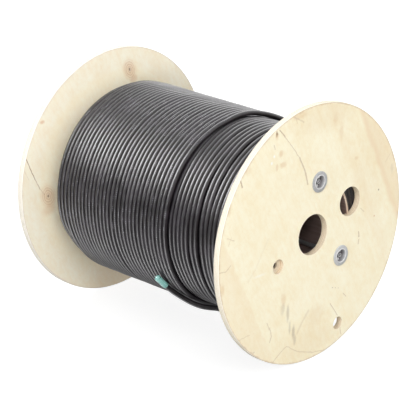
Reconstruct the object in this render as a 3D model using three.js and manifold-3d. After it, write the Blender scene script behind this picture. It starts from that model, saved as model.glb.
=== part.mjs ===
// Wooden cable drum: two grooved plywood flanges clamped on a thin plywood barrel by tie rods
// with countersunk cup nuts, wound with a black jacketed cable whose loose end carries a cap.
// Millimetres, +Z up. The drum axis runs along X, the lead-out flange is at +X, and the drum
// stands on its rims with the floor at Z = 0 below the middle of its width.

import * as THREE from 'three';
import { mergeVertices } from 'three/addons/utils/BufferGeometryUtils.js';
import Module from 'manifold-3d';

const wasm = await Module();
wasm.setup();

// ---------------------------------------------------------------- driving dimensions
const CLEARANCE = 0.3; // air left between two pieces that touch

const FLANGE_RADIUS = 175;
const FLANGE_THICKNESS = 9;
const FLANGE_EDGE_BREAK = 0.8; // chamfer on the rim
const INNER_WIDTH = 360; // between the flanges
const BORE_RADIUS = 27.5; // spindle bore
const BORE_EDGE_BREAK = 0.6;

const BARREL_RADIUS = 78.5; // outside of the barrel
const BARREL_WALL = 3.2;
const GROOVE_DEPTH = 2.6; // how far the barrel is let into each flange

const ROD_RADIUS = 3.5;
const ROD_TO_BARREL = 1.2; // the rods stand this far inside the barrel
const ROD_ANGLES = [81.4, 321.4]; // degrees from +Y towards +Z
const SPARE_ROD_ANGLE = 201.4; // third position, drilled but empty
const ROD_END_DEPTH = 1.8; // rod end below the outer face of the flange
const ROD_END_CHAMFER = 0.6;
const ROD_DIMPLE_RADIUS = 1.7;
const ROD_DIMPLE_DEPTH = 1.6;

const COUNTERBORE_RADIUS = 9.8;
const COUNTERBORE_DEPTH = 5.4;

const NUT_WASHER_RADIUS = 14.1; // flat brim of the cup nut
const NUT_SHEET = 1.2; // thickness of its sheet steel
const NUT_BEAD_HEIGHT = 0.8; // rolled bead above the brim
const NUT_BEAD_WIDTH = 1.6;
const NUT_TAPER = 0.7; // draft of the cup over its depth
const NUT_LUG_WIDTH = 2.2; // driving lugs across the cup floor
const NUT_LUG_HEIGHT = 1.6;
const NUT_LUG_TURN = 28; // degrees, lugs turned from the radial line of the rod

const LEAD_HOLE_RADIUS = 20;
const LEAD_HOLE_CENTRE_RADIUS = 77; // straddles the barrel wall
const LEAD_HOLE_ANGLE = 20.4;
const RIM_HOLE_RADIUS = 8.8; // hole for tying down the cable end
const RIM_HOLE_FROM_RIM = 25; // its centre
const RIM_HOLE_ANGLE = -69.3;

const CABLE_DIAMETER = 7.1;
const LAYER_COUNT = 9;
const OUTER_LAYER_END = 57; // X where the outermost layer stops
const OUTER_LAYER_TURNS = 30;
const OPEN_LAYER_TURNS = 17; // turns of the layer below, from there to the lead-out flange
const FAR_END_STEP = 6; // each layer stops this much short of the one below it
const GROOVE_BETWEEN_TURNS = 2.5; // depth of the valley between two turns
const CREST_SHARE = 0.44; // flat crest of a turn, as a share of its pitch

const CAP_RADIUS = 4.5;
const CAP_LENGTH = 21;

// facets
const RIM_FACETS = 64;
const BORE_FACETS = 24;
const HOLE_FACETS = 16;
const BARREL_FACETS = 48;
const WINDING_FACETS = 24;
const ROD_FACETS = 14;
const NUT_FACETS = 16;
const CORD_FACETS = 8;
const CAP_FACETS = 12;
const CAP_NOSE_STEPS = 3;
const OVERCUT = 1; // a drill runs this far past a face

// ---------------------------------------------------------------- values worked out from them
const BARREL_BORE_RADIUS = BARREL_RADIUS - BARREL_WALL;
const HALF_WIDTH = INNER_WIDTH / 2;
const AXIS_HEIGHT = FLANGE_RADIUS * Math.cos(Math.PI / RIM_FACETS); // stands on one rim facet
const ROD_CIRCLE_RADIUS = BARREL_BORE_RADIUS - ROD_TO_BARREL - ROD_RADIUS;
const ROD_HOLE_RADIUS = ROD_RADIUS + CLEARANCE;
const CABLE_RADIUS = CABLE_DIAMETER / 2;
const LAYER_PITCH = CABLE_DIAMETER * Math.cos(Math.PI / 6); // nested layers
const centreOfLayer = (layer) => BARREL_RADIUS + CABLE_RADIUS + (layer - 1) * LAYER_PITCH;
const OUTER_CREST = centreOfLayer(LAYER_COUNT) + CABLE_RADIUS;
const OPEN_CREST = centreOfLayer(LAYER_COUNT - 1) + CABLE_RADIUS;

// ---------------------------------------------------------------- finishes
const plywood = () => new THREE.MeshStandardMaterial({ color: 0xf2e4c2, roughness: 0.62, metalness: 0 });
const barrelPly = () => new THREE.MeshStandardMaterial({ color: 0xb59a7b, roughness: 0.7, metalness: 0 });
const zincSteel = () => new THREE.MeshStandardMaterial({ color: 0xb9bbbf, roughness: 0.38, metalness: 0.9 });
const jacket = () => new THREE.MeshStandardMaterial({ color: 0x252428, roughness: 0.42, metalness: 0 });
const capPlastic = () => new THREE.MeshStandardMaterial({ color: 0x7fc9b9, roughness: 0.4, metalness: 0 });

// ---------------------------------------------------------------- helpers
const onCircle = (radius, degrees, x = 0) => {
  const angle = THREE.MathUtils.degToRad(degrees);
  return new THREE.Vector3(x, radius * Math.cos(angle), radius * Math.sin(angle));
};

// Corner radius of a faceted round whose flats lie at the given radius.
const clearOf = (radius, facets) => radius / Math.cos(Math.PI / facets);

// Turns an outline of [radius, x] pairs about the X axis, with a facet facing straight down. An
// outline that doesn't start on the axis is closed on itself.
function turned(outline, facets) {
  const points = outline.map(([radius, x]) => new THREE.Vector2(radius, x));
  if (points[0].x > 0) points.push(points[0].clone());
  const geometry = new THREE.LatheGeometry(points, facets, Math.PI / facets);
  return geometry.rotateZ(-Math.PI / 2);
}

// A plain drill: a cylinder along X from x0 to x1 about a point of the YZ plane.
function drill(radius, x0, x1, centre, facets) {
  const corner = clearOf(radius, facets);
  const geometry = new THREE.CylinderGeometry(corner, corner, x1 - x0, facets);
  geometry.rotateZ(-Math.PI / 2);
  return geometry.translate((x0 + x1) / 2, centre.y, centre.z);
}

function toSolid(geometry) {
  const bare = geometry.clone();
  bare.deleteAttribute('normal');
  bare.deleteAttribute('uv');
  const merged = mergeVertices(bare, 1e-4);
  return new wasm.Manifold(new wasm.Mesh({
    numProp: 3,
    vertProperties: new Float32Array(merged.attributes.position.array),
    triVerts: new Uint32Array(merged.index.array),
  }));
}

function toGeometry(solid) {
  const { vertProperties, triVerts } = solid.getMesh();
  const geometry = new THREE.BufferGeometry();
  geometry.setAttribute('position', new THREE.BufferAttribute(new Float32Array(vertProperties), 3));
  geometry.setIndex(new THREE.BufferAttribute(new Uint32Array(triVerts), 1));
  geometry.computeVertexNormals();
  return geometry;
}

function named(name, geometry, material) {
  const mesh = new THREE.Mesh(geometry, material);
  mesh.name = name;
  return mesh;
}

// ---------------------------------------------------------------- flange
// Drawn with its inner face at x = 0 and its outer face at x = FLANGE_THICKNESS.
function flangeGeometry(drilledForCable) {
  const grooveInside = BARREL_BORE_RADIUS - CLEARANCE;
  const grooveOutside = clearOf(BARREL_RADIUS + CLEARANCE, RIM_FACETS);
  const disc = turned([
    [BORE_RADIUS, BORE_EDGE_BREAK],
    [BORE_RADIUS + BORE_EDGE_BREAK, 0],
    [grooveInside, 0],
    [grooveInside, GROOVE_DEPTH],
    [grooveOutside, GROOVE_DEPTH],
    [grooveOutside, 0],
    [FLANGE_RADIUS - FLANGE_EDGE_BREAK, 0],
    [FLANGE_RADIUS, FLANGE_EDGE_BREAK],
    [FLANGE_RADIUS, FLANGE_THICKNESS - FLANGE_EDGE_BREAK],
    [FLANGE_RADIUS - FLANGE_EDGE_BREAK, FLANGE_THICKNESS],
    [BORE_RADIUS + BORE_EDGE_BREAK, FLANGE_THICKNESS],
    [BORE_RADIUS, FLANGE_THICKNESS - BORE_EDGE_BREAK],
  ], RIM_FACETS);
  let solid = toSolid(disc);
  const through = [-OVERCUT, FLANGE_THICKNESS + OVERCUT];
  for (const angle of [...ROD_ANGLES, SPARE_ROD_ANGLE]) {
    const centre = onCircle(ROD_CIRCLE_RADIUS, angle);
    const floor = FLANGE_THICKNESS - COUNTERBORE_DEPTH;
    solid = solid.subtract(toSolid(drill(ROD_HOLE_RADIUS, ...through, centre, HOLE_FACETS)));
    solid = solid.subtract(toSolid(drill(COUNTERBORE_RADIUS, floor, through[1], centre, HOLE_FACETS)));
  }
  if (drilledForCable) {
    const lead = onCircle(LEAD_HOLE_CENTRE_RADIUS, LEAD_HOLE_ANGLE);
    const rim = onCircle(FLANGE_RADIUS - RIM_HOLE_FROM_RIM, RIM_HOLE_ANGLE);
    solid = solid.subtract(toSolid(drill(LEAD_HOLE_RADIUS, ...through, lead, BORE_FACETS)));
    solid = solid.subtract(toSolid(drill(RIM_HOLE_RADIUS, ...through, rim, HOLE_FACETS)));
  }
  return toGeometry(solid);
}

// ---------------------------------------------------------------- barrel and tie rods
function barrelGeometry() {
  const end = HALF_WIDTH + GROOVE_DEPTH - CLEARANCE;
  const bore = clearOf(BARREL_BORE_RADIUS, BARREL_FACETS);
  return turned([
    [bore, -end],
    [BARREL_RADIUS, -end],
    [BARREL_RADIUS, end],
    [bore, end],
  ], BARREL_FACETS);
}

function rodGeometry() {
  const end = HALF_WIDTH + FLANGE_THICKNESS - ROD_END_DEPTH;
  const half = [
    [ROD_RADIUS, end - ROD_END_CHAMFER],
    [ROD_RADIUS - ROD_END_CHAMFER, end],
    [ROD_DIMPLE_RADIUS, end],
    [0, end - ROD_DIMPLE_DEPTH],
  ];
  const mirrored = half.map(([radius, x]) => [radius, -x]).reverse();
  return turned([...mirrored, ...half], ROD_FACETS);
}

// Pressed cup nut, drawn about the X axis with the flange's outer face at x = 0.
function cupNutGeometry() {
  const brimUnder = CLEARANCE;
  const brimTop = brimUnder + NUT_SHEET;
  const beadTop = brimTop + NUT_BEAD_HEIGHT;
  const floorUnder = -COUNTERBORE_DEPTH + CLEARANCE;
  const floorTop = floorUnder + NUT_SHEET;
  const cupOutside = COUNTERBORE_RADIUS - CLEARANCE;
  const cupInside = cupOutside - NUT_SHEET;
  const beadOutside = cupInside + NUT_BEAD_WIDTH;
  const rodHole = clearOf(ROD_HOLE_RADIUS, NUT_FACETS);
  const shell = turned([
    [rodHole, floorUnder],
    [cupOutside - NUT_SHEET, floorUnder],
    [cupOutside, floorTop],
    [cupOutside, brimUnder],
    [NUT_WASHER_RADIUS, brimUnder],
    [NUT_WASHER_RADIUS, brimTop - CLEARANCE],
    [NUT_WASHER_RADIUS - CLEARANCE, brimTop],
    [beadOutside, brimTop],
    [beadOutside - NUT_BEAD_WIDTH / 4, beadTop],
    [cupInside + NUT_BEAD_WIDTH / 4, beadTop],
    [cupInside, brimTop],
    [cupInside - NUT_TAPER, floorTop],
    [rodHole, floorTop],
  ], NUT_FACETS);
  let solid = toSolid(shell);
  const lugInside = rodHole;
  const lugLength = cupInside - lugInside;
  for (const side of [1, -1]) {
    const lug = new THREE.BoxGeometry(NUT_LUG_HEIGHT + NUT_SHEET / 2, lugLength, NUT_LUG_WIDTH);
    lug.translate(floorTop + NUT_LUG_HEIGHT / 2 - NUT_SHEET / 4, side * (lugInside + lugLength / 2), 0);
    lug.rotateX(THREE.MathUtils.degToRad(NUT_LUG_TURN));
    solid = solid.add(toSolid(lug));
  }
  return toGeometry(solid);
}

// ---------------------------------------------------------------- cable
// One row of turns along X, from x0 towards x1: a flat crest for each, with a valley between two.
function rowOfTurns(x0, x1, crest, turns) {
  const pitch = (x1 - x0) / turns;
  const halfCrest = (pitch * CREST_SHARE) / 2;
  const outline = [];
  for (let turn = 0; turn < turns; turn += 1) {
    const middle = x0 + (turn + 0.5) * pitch;
    if (turn > 0) outline.push([crest - GROOVE_BETWEEN_TURNS, middle - pitch / 2]);
    outline.push([crest, middle - halfCrest]);
    outline.push([crest, middle + halfCrest]);
  }
  return outline;
}

// The whole winding is one turned solid. The outermost layer stops short of the lead-out flange,
// where the layers below it show as rings on the end. At the other end the outer layers step in
// one by one, down to those that reach the plain flange.
function windingGeometry() {
  const face = HALF_WIDTH - CLEARANCE;
  const bore = clearOf(BARREL_RADIUS + CLEARANCE, WINDING_FACETS);
  const outerLayerStart = OUTER_LAYER_END - OUTER_LAYER_TURNS * CABLE_DIAMETER;
  const belowLayer = (layer) => centreOfLayer(layer) - LAYER_PITCH / 2;
  const ringGroove = GROOVE_BETWEEN_TURNS / 2;
  const outline = [[bore, -face], [bore, face]];
  for (let layer = 1; layer < LAYER_COUNT; layer += 1) {
    if (layer > 1) outline.push([belowLayer(layer), face - ringGroove]);
    outline.push([centreOfLayer(layer), face]);
  }
  outline.push(...rowOfTurns(face, OUTER_LAYER_END, OPEN_CREST, OPEN_LAYER_TURNS));
  outline.push([belowLayer(LAYER_COUNT), OUTER_LAYER_END]);
  outline.push([centreOfLayer(LAYER_COUNT), OUTER_LAYER_END]);
  outline.push(...rowOfTurns(OUTER_LAYER_END, outerLayerStart, OUTER_CREST, OUTER_LAYER_TURNS));
  for (let layer = LAYER_COUNT; layer > 0; layer -= 1) {
    const steppedEnd = outerLayerStart - (LAYER_COUNT - layer) * FAR_END_STEP;
    const end = Math.max(steppedEnd, -face);
    const groove = steppedEnd > -face ? 0 : ringGroove;
    outline.push([centreOfLayer(layer), end]);
    if (layer > 1) outline.push([belowLayer(layer), end + groove]);
  }
  return turned(outline.reverse(), WINDING_FACETS);
}

// The loose end leaves the edge of the outer layer just before the top, drifts over the open
// layer behind the drum, comes back from below and climbs over the step onto the outer layer at
// the front. Each entry of its route is [X, degrees about the axis, height of the cable's centre
// above the open layer's crest].
const LIE = CABLE_RADIUS + CLEARANCE;
const OVER = LIE + OUTER_CREST - OPEN_CREST;
const LOOSE_END_ROUTE = [
  [61.2, 76, LIE], [64.5, 71, LIE], [69.5, 65, LIE], [74.5, 58, LIE], [79.5, 49, LIE],
  [84, 37, LIE], [87.5, 22, LIE], [90, 5, LIE], [91.5, -13, LIE], [92, -31, LIE],
  [92, -49, LIE], [91.5, -66, LIE], [90, -81, LIE], [87, -94, LIE], [83.5, -104, LIE],
  [79.5, -111.5, LIE], [75.5, -117, LIE + 0.6], [70.5, -120.3, LIE + 2.7],
  [65.5, -122.8, LIE + 4.6], [60.5, -125.2, OVER - 0.4], [54.5, -128, OVER + 0.2],
  [48, -131.2, OVER + 0.3], [42, -134.3, OVER + 0.3], [37, -137.6, OVER + 0.5],
  [33, -141.4, OVER + 0.9],
];

const routePoint = ([x, degrees, height]) => onCircle(OPEN_CREST + height, degrees, x);

function looseEndCurve() {
  return new THREE.CatmullRomCurve3(LOOSE_END_ROUTE.map(routePoint), false, 'centripetal');
}

function looseEndGeometry() {
  const corners = Array.from({ length: CORD_FACETS }, (_, side) => {
    const angle = (2 * Math.PI * side) / CORD_FACETS;
    return new THREE.Vector2(CABLE_RADIUS * Math.cos(angle), CABLE_RADIUS * Math.sin(angle));
  });
  const section = new THREE.Shape(corners);
  const curve = looseEndCurve();
  const steps = Math.round(curve.getLength() / (2 * CABLE_DIAMETER));
  return new THREE.ExtrudeGeometry(section, { steps, extrudePath: curve, bevelEnabled: false });
}

// Push-on end cap: a blunt bullet that carries on the line of the cable.
function endCap() {
  const outline = [[0, 0], [CAP_RADIUS - CLEARANCE, 0], [CAP_RADIUS, CLEARANCE]];
  for (let step = 0; step < CAP_NOSE_STEPS; step += 1) {
    const angle = ((Math.PI / 2) * step) / CAP_NOSE_STEPS;
    const behindTip = CAP_RADIUS * (1 - Math.sin(angle));
    outline.push([CAP_RADIUS * Math.cos(angle), CAP_LENGTH - behindTip]);
  }
  outline.push([0, CAP_LENGTH]);
  const geometry = turned(outline, CAP_FACETS);
  const curve = looseEndCurve();
  const direction = curve.getTangent(1);
  const mesh = named('end_cap', geometry, capPlastic());
  mesh.quaternion.setFromUnitVectors(new THREE.Vector3(1, 0, 0), direction);
  mesh.position.copy(curve.getPoint(1)).addScaledVector(direction, CLEARANCE);
  return mesh;
}

// ---------------------------------------------------------------- assembly
const drum = new THREE.Group();
drum.position.set(0, 0, AXIS_HEIGHT);

const nearFlange = named('flange_lead_side', flangeGeometry(true), plywood());
nearFlange.position.x = HALF_WIDTH;
drum.add(nearFlange);

// The other flange faces the other way: turned half round about Z, with its holes mirrored to match.
const farGeometry = flangeGeometry(false).scale(-1, 1, 1);
farGeometry.setIndex([...farGeometry.index.array].reverse());
const farFlange = named('flange_plain_side', farGeometry, plywood());
farFlange.position.x = -HALF_WIDTH;
drum.add(farFlange);

drum.add(named('barrel', barrelGeometry(), barrelPly()));
drum.add(named('cable_winding', windingGeometry(), jacket()));

ROD_ANGLES.forEach((angle, index) => {
  const rod = named(`tie_rod_${index + 1}`, rodGeometry(), zincSteel());
  rod.position.copy(onCircle(ROD_CIRCLE_RADIUS, angle));
  drum.add(rod);
  for (const side of [1, -1]) {
    const where = side > 0 ? 'lead_side' : 'plain_side';
    const nut = named(`cup_nut_${index + 1}_${where}`, cupNutGeometry(), zincSteel());
    nut.position.copy(onCircle(ROD_CIRCLE_RADIUS, angle, side * (HALF_WIDTH + FLANGE_THICKNESS)));
    if (side < 0) nut.rotation.z = Math.PI;
    drum.add(nut);
  }
});

drum.add(named('cable_loose_end', looseEndGeometry(), jacket()));
drum.add(endCap());

const part = new THREE.Group();
part.add(drum);

export default part;
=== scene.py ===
"""Fine form and finish of a wooden cable drum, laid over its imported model.

The drum axis runs along X. The flange with the lead-out hole is at +X, the plain one at -X, and
the drum stands on its rims. Lengths are metres, angles are degrees about the drum axis, counted
from +Y towards +Z, and patterns on wood are drawn in millimetres from the axis.
"""

from __future__ import annotations

import logging
import math
from dataclasses import dataclass
from enum import Enum
from typing import Callable, Sequence

import bmesh
import bpy
import numpy as np
from mathutils import Matrix, Vector, noise


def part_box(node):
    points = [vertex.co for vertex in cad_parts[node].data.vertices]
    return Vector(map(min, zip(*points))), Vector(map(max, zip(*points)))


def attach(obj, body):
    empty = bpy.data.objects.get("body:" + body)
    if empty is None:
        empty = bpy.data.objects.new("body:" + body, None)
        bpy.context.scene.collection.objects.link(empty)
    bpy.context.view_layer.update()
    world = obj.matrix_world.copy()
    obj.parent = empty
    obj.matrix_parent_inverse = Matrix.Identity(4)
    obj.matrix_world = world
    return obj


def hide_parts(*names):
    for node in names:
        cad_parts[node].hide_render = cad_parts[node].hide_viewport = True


MM = 0.001
BODY = "root"
LOG = logging.getLogger("cable_drum")

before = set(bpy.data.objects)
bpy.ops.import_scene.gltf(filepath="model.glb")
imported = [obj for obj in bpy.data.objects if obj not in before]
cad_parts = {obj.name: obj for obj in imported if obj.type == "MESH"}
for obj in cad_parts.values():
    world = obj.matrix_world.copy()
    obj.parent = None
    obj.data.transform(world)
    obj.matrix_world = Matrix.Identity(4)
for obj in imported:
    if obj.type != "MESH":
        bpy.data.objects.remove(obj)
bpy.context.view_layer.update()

Socket = bpy.types.NodeSocket
Sockets = bpy.types.bpy_prop_collection
Colour = tuple[float, float, float]
Pair = tuple[float, float]
Steps = tuple[Pair, ...]
Piece = bpy.types.Object
Material = bpy.types.Material
Shape = bmesh.types.BMesh


class Side(Enum):
    """The two ends of the drum, as the sign of X."""

    LEAD = 1
    PLAIN = -1


def srgb(red: int, green: int, blue: int) -> Colour:
    """Return a display colour, 0 to 255 a channel, as linear light.

    Args:
        red: Red, from 0 to 255.
        green: Green.
        blue: Blue.

    Returns:
        The colour as linear light.
    """

    def linear(channel: int) -> float:
        """Return one channel as linear light."""
        share = channel / 255
        return share / 12.92 if share <= 0.04045 else ((share + 0.055) / 1.055) ** 2.4

    return (linear(red), linear(green), linear(blue))


def smoothstep(low: float, high: float, value: float) -> float:
    """Return 0 below low, 1 above high and a smooth rise between them."""
    share = min(1.0, max(0.0, (value - low) / (high - low)))
    return share * share * (3 - 2 * share)


def between(points: Steps, place: float) -> float:
    """Return the value at a place in a list of (place, value) pairs, eased from one to the next.

    Args:
        points: The pairs, in order of place.
        place: Where to look.

    Returns:
        The value there.
    """
    for (start, first), (end, second) in zip(points, points[1:]):
        if place <= end:
            return first + (second - first) * smoothstep(start, end, place)
    return points[-1][1]


@dataclass(frozen=True)
class DrumFrame:
    """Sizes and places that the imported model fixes."""

    axis_height: float
    rim_radius: float
    inner_face: float
    outer_face: float
    barrel_radius: float
    barrel_end: float

    @classmethod
    def measured(cls) -> DrumFrame:
        """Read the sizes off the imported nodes.

        Returns:
            The sizes.
        """
        flange_low, flange_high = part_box("flange_lead_side")
        barrel_low, barrel_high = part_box("barrel")
        return cls(
            axis_height=(flange_low.z + flange_high.z) / 2,
            rim_radius=(flange_high.z - flange_low.z) / 2,
            inner_face=flange_low.x,
            outer_face=flange_high.x,
            barrel_radius=(barrel_high.z - barrel_low.z) / 2,
            barrel_end=barrel_high.x,
        )

    def on_circle(self, radius: float, degrees: float, x: float = 0.0) -> Vector:
        """Return the point at a radius and an angle about the drum axis."""
        angle = math.radians(degrees)
        return Vector((x, radius * math.cos(angle), self.axis_height + radius * math.sin(angle)))

    @property
    def centre(self) -> Vector:
        """The middle of the drum axis."""
        return Vector((0.0, 0.0, self.axis_height))


# ---------------- node work

# A Mix node's sockets for colours: the mask, the base and the paint, and what it puts out.
MIX_COLOUR_INPUTS = (0, 6, 7)
MIX_COLOUR_OUTPUT = 2


class Sheet:
    """Places and joins shader nodes in one material or node group."""

    def __init__(self, tree: bpy.types.NodeTree) -> None:
        """Start on a node tree."""
        self.tree = tree

    def add(self, kind: str, **settings: object) -> bpy.types.Node:
        """Place a node.

        Args:
            kind: The node's type name.
            settings: Properties to set on it.

        Returns:
            The node.
        """
        node = self.tree.nodes.new(kind)
        for name, value in settings.items():
            setattr(node, name, value)
        return node

    def feed(self, target: Socket, source: object) -> None:
        """Join a socket to an input, or set the input to a plain value.

        Args:
            target: The input.
            source: The socket or the value.
        """
        if isinstance(source, bpy.types.NodeSocket):
            self.tree.links.new(source, target)
        elif target.type == "RGBA" and len(source) == 3:
            target.default_value = (*source, 1.0)
        else:
            target.default_value = source

    def fill(self, node: bpy.types.Node, inputs: dict[int | str, object]) -> bpy.types.Node:
        """Feed a node's inputs.

        Args:
            node: The node.
            inputs: Sockets or plain values, by the input's name or number.

        Returns:
            The node.
        """
        for name, source in inputs.items():
            self.feed(node.inputs[name], source)
        return node

    def math(self, operation: str, first: object, second: object = 0.0, clamp: bool = False) -> Socket:
        """Return the result of a Math node."""
        node = self.add("ShaderNodeMath", operation=operation, use_clamp=clamp)
        return self.fill(node, {0: first, 1: second}).outputs[0]

    def plus(self, first: object, second: object) -> Socket:
        """Return a sum."""
        return self.math("ADD", first, second)

    def times(self, first: object, second: object) -> Socket:
        """Return a product."""
        return self.math("MULTIPLY", first, second)

    def vector(self, operation: str, first: object, second: object = (0.0, 0.0, 0.0)) -> Socket:
        """Place a Vector Math node.

        Args:
            operation: What it does.
            first: Its first vector.
            second: Its second vector, or the number for SCALE.

        Returns:
            Its result, a number for DOT_PRODUCT and LENGTH and else a vector.
        """
        node = self.add("ShaderNodeVectorMath", operation=operation)
        self.fill(node, {0: first, "Scale" if operation == "SCALE" else 1: second})
        return node.outputs["Value" if operation in ("DOT_PRODUCT", "LENGTH") else "Vector"]

    def remap(self, value: object, low: object, high: object, to_low: object = 0.0,
              to_high: object = 1.0, smooth: bool = True) -> Socket:
        """Carry a value from one range to another, held at both ends.

        Args:
            value: The value.
            low: Start of its range.
            high: End of its range.
            to_low: What the start becomes.
            to_high: What the end becomes.
            smooth: Whether it eases in and out.

        Returns:
            The new value.
        """
        node = self.add("ShaderNodeMapRange", interpolation_type="SMOOTHSTEP" if smooth else "LINEAR")
        inputs = {"Value": value, "From Min": low, "From Max": high, "To Min": to_low, "To Max": to_high}
        return self.fill(node, inputs).outputs["Result"]

    def place(self) -> Socket:
        """Return Object coordinates, in metres."""
        return self.add("ShaderNodeTexCoord").outputs["Object"]

    def apart(self, vector: object) -> tuple[Socket, Socket, Socket]:
        """Return the X, Y and Z of a vector."""
        node = self.fill(self.add("ShaderNodeSeparateXYZ"), {"Vector": vector})
        return node.outputs["X"], node.outputs["Y"], node.outputs["Z"]

    def noise(self, vector: object, scale: object, detail: float = 2.0, roughness: float = 0.5) -> Socket:
        """Return the value of a Noise texture."""
        inputs = {"Vector": vector, "Scale": scale, "Detail": detail, "Roughness": roughness}
        return self.fill(self.add("ShaderNodeTexNoise"), inputs).outputs["Fac"]

    def sway(self, vector: object, scale: object, reach: object, detail: float = 3.0,
             roughness: float = 0.5) -> Socket:
        """Return a noise that strays to both sides of zero, by up to half its reach."""
        off_middle = self.math("SUBTRACT", self.noise(vector, scale, detail, roughness), 0.5)
        return self.times(off_middle, reach)

    def mix(self, mask: object, base: object, paint: object) -> Socket:
        """Return a base colour with paint laid over it where the mask says."""
        node = self.add("ShaderNodeMix", data_type="RGBA")
        return self.fill(node, dict(zip(MIX_COLOUR_INPUTS, (mask, base, paint)))).outputs[MIX_COLOUR_OUTPUT]

    def turned(self, vector: object, degrees: float) -> Socket:
        """Return a vector turned about the X axis."""
        inputs = {"Vector": vector, "Rotation": (math.radians(degrees), 0.0, 0.0)}
        return self.fill(self.add("ShaderNodeMapping"), inputs).outputs["Vector"]

    def scaled(self, vector: object, scale: Sequence[float],
               move: Sequence[float] = (0.0, 0.0, 0.0)) -> Socket:
        """Return a vector through a Mapping node, scaled on each axis and then moved."""
        inputs = {"Vector": vector, "Scale": scale, "Location": move}
        return self.fill(self.add("ShaderNodeMapping"), inputs).outputs["Vector"]

    def bump(self, height: object, strength: float, distance: float) -> Socket:
        """Return the normal that a height gives."""
        inputs = {"Height": height, "Strength": strength, "Distance": distance}
        return self.fill(self.add("ShaderNodeBump"), inputs).outputs["Normal"]

    def group(self, tree: bpy.types.NodeTree, **inputs: object) -> bpy.types.Node:
        """Place a node group, with underscores in input names standing for spaces."""
        named = {name.replace("_", " "): source for name, source in inputs.items()}
        return self.fill(self.add("ShaderNodeGroup", node_tree=tree), named)


def new_group(name: str, inputs: dict[str, str],
              outputs: dict[str, str]) -> tuple[bpy.types.NodeTree, Sheet, Sockets, Sockets]:
    """Start a shader node group.

    Args:
        name: The group's name.
        inputs: Socket names and their kinds, "Float", "Vector" or "Color".
        outputs: The same for what it puts out.

    Returns:
        The group's tree, its sheet, its input sockets and its output sockets, by name.
    """
    tree = bpy.data.node_groups.new(name, "ShaderNodeTree")
    for in_out, sockets in (("INPUT", inputs), ("OUTPUT", outputs)):
        for socket, kind in sockets.items():
            tree.interface.new_socket(name=socket, in_out=in_out, socket_type="NodeSocket" + kind)
    sheet = Sheet(tree)
    entry = sheet.add("NodeGroupInput")
    leave = sheet.add("NodeGroupOutput")
    return tree, sheet, entry.outputs, leave.inputs


def line_mark_group() -> bpy.types.NodeTree:
    """A mask along the straight line between two points, for cracks and scratches.

    Returns:
        The group.
    """
    tree, sheet, given, out = new_group(
        "line_mark", {"Vector": "Vector", "Start": "Vector", "End": "Vector", "Width": "Float"},
        {"Mask": "Float"})
    full_to, gone_by = 0.3, 1.6  # shares of the width
    along = sheet.vector("SUBTRACT", given["End"], given["Start"])
    place = sheet.vector("SUBTRACT", given["Vector"], given["Start"])
    reach = sheet.math("DIVIDE", sheet.vector("DOT_PRODUCT", place, along),
                       sheet.vector("DOT_PRODUCT", along, along), clamp=True)
    beside = sheet.vector("LENGTH", sheet.vector("SUBTRACT", place, sheet.vector("SCALE", along, reach)))
    inner, outer = (sheet.times(given["Width"], share) for share in (full_to, gone_by))
    sheet.feed(out["Mask"], sheet.remap(beside, inner, outer, 1.0, 0.0))
    return tree


def blot_group() -> bpy.types.NodeTree:
    """A soft oval mask with a ragged edge, for stains, specks and worn patches.

    Returns:
        The group.
    """
    tree, sheet, given, out = new_group(
        "blot", {"Vector": "Vector", "Centre": "Vector", "Shrink": "Vector", "Ragged": "Float"},
        {"Mask": "Float"})
    full_to, gone_by = 0.25, 1.0  # shares of the half size
    place = sheet.vector("SUBTRACT", given["Vector"], given["Centre"])
    reach = sheet.vector("LENGTH", sheet.vector("MULTIPLY", place, given["Shrink"]))
    ragged = sheet.sway(given["Vector"], 0.16, given["Ragged"], detail=4.0, roughness=0.6)
    reach = sheet.plus(reach, ragged)
    sheet.feed(out["Mask"], sheet.remap(reach, full_to, gone_by, 1.0, 0.0))
    return tree


def knot_group() -> bpy.types.NodeTree:
    """A knot: a dark heart, year rings round it, a warm halo, and grain pushed aside by it.

    Returns:
        The group.
    """
    tree, sheet, given, out = new_group(
        "knot", {"Vector": "Vector", "Centre": "Vector", "Shrink": "Vector"},
        {"Heart": "Float", "Rings": "Float", "Halo": "Float", "Vector": "Vector"})
    # Where each part is full and where it is gone, in shares of the knot's half size.
    heart, ringed, halo = (0.1, 0.3), (0.7, 1.7), (0.5, 2.0)
    ring_rate, ring_ground = 19.0, 0.2
    push_fall, grain_push = 2.2, 0.93
    place = sheet.vector("SUBTRACT", given["Vector"], given["Centre"])
    oval = sheet.vector("MULTIPLY", place, given["Shrink"])
    reach = sheet.plus(sheet.vector("LENGTH", oval), sheet.sway(given["Vector"], 0.22, 0.35))
    sheet.feed(out["Heart"], sheet.remap(reach, *heart, 1.0, 0.0))
    rings = sheet.math("SINE", sheet.times(reach, ring_rate))
    within = sheet.remap(reach, *ringed, 1.0, 0.0)
    rings = sheet.times(sheet.remap(rings, 0.0, 1.0), within)
    sheet.feed(out["Rings"], sheet.math("MAXIMUM", rings, sheet.times(within, ring_ground)))
    sheet.feed(out["Halo"], sheet.remap(reach, *halo, 1.0, 0.0))
    push = sheet.math("DIVIDE", 1.0, sheet.plus(1.0, sheet.math("POWER", reach, push_fall)))
    aside = sheet.vector("MULTIPLY", sheet.vector("SCALE", place, push), (0.0, -grain_push, 0.0))
    sheet.feed(out["Vector"], sheet.vector("ADD", given["Vector"], aside))
    return tree


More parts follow.
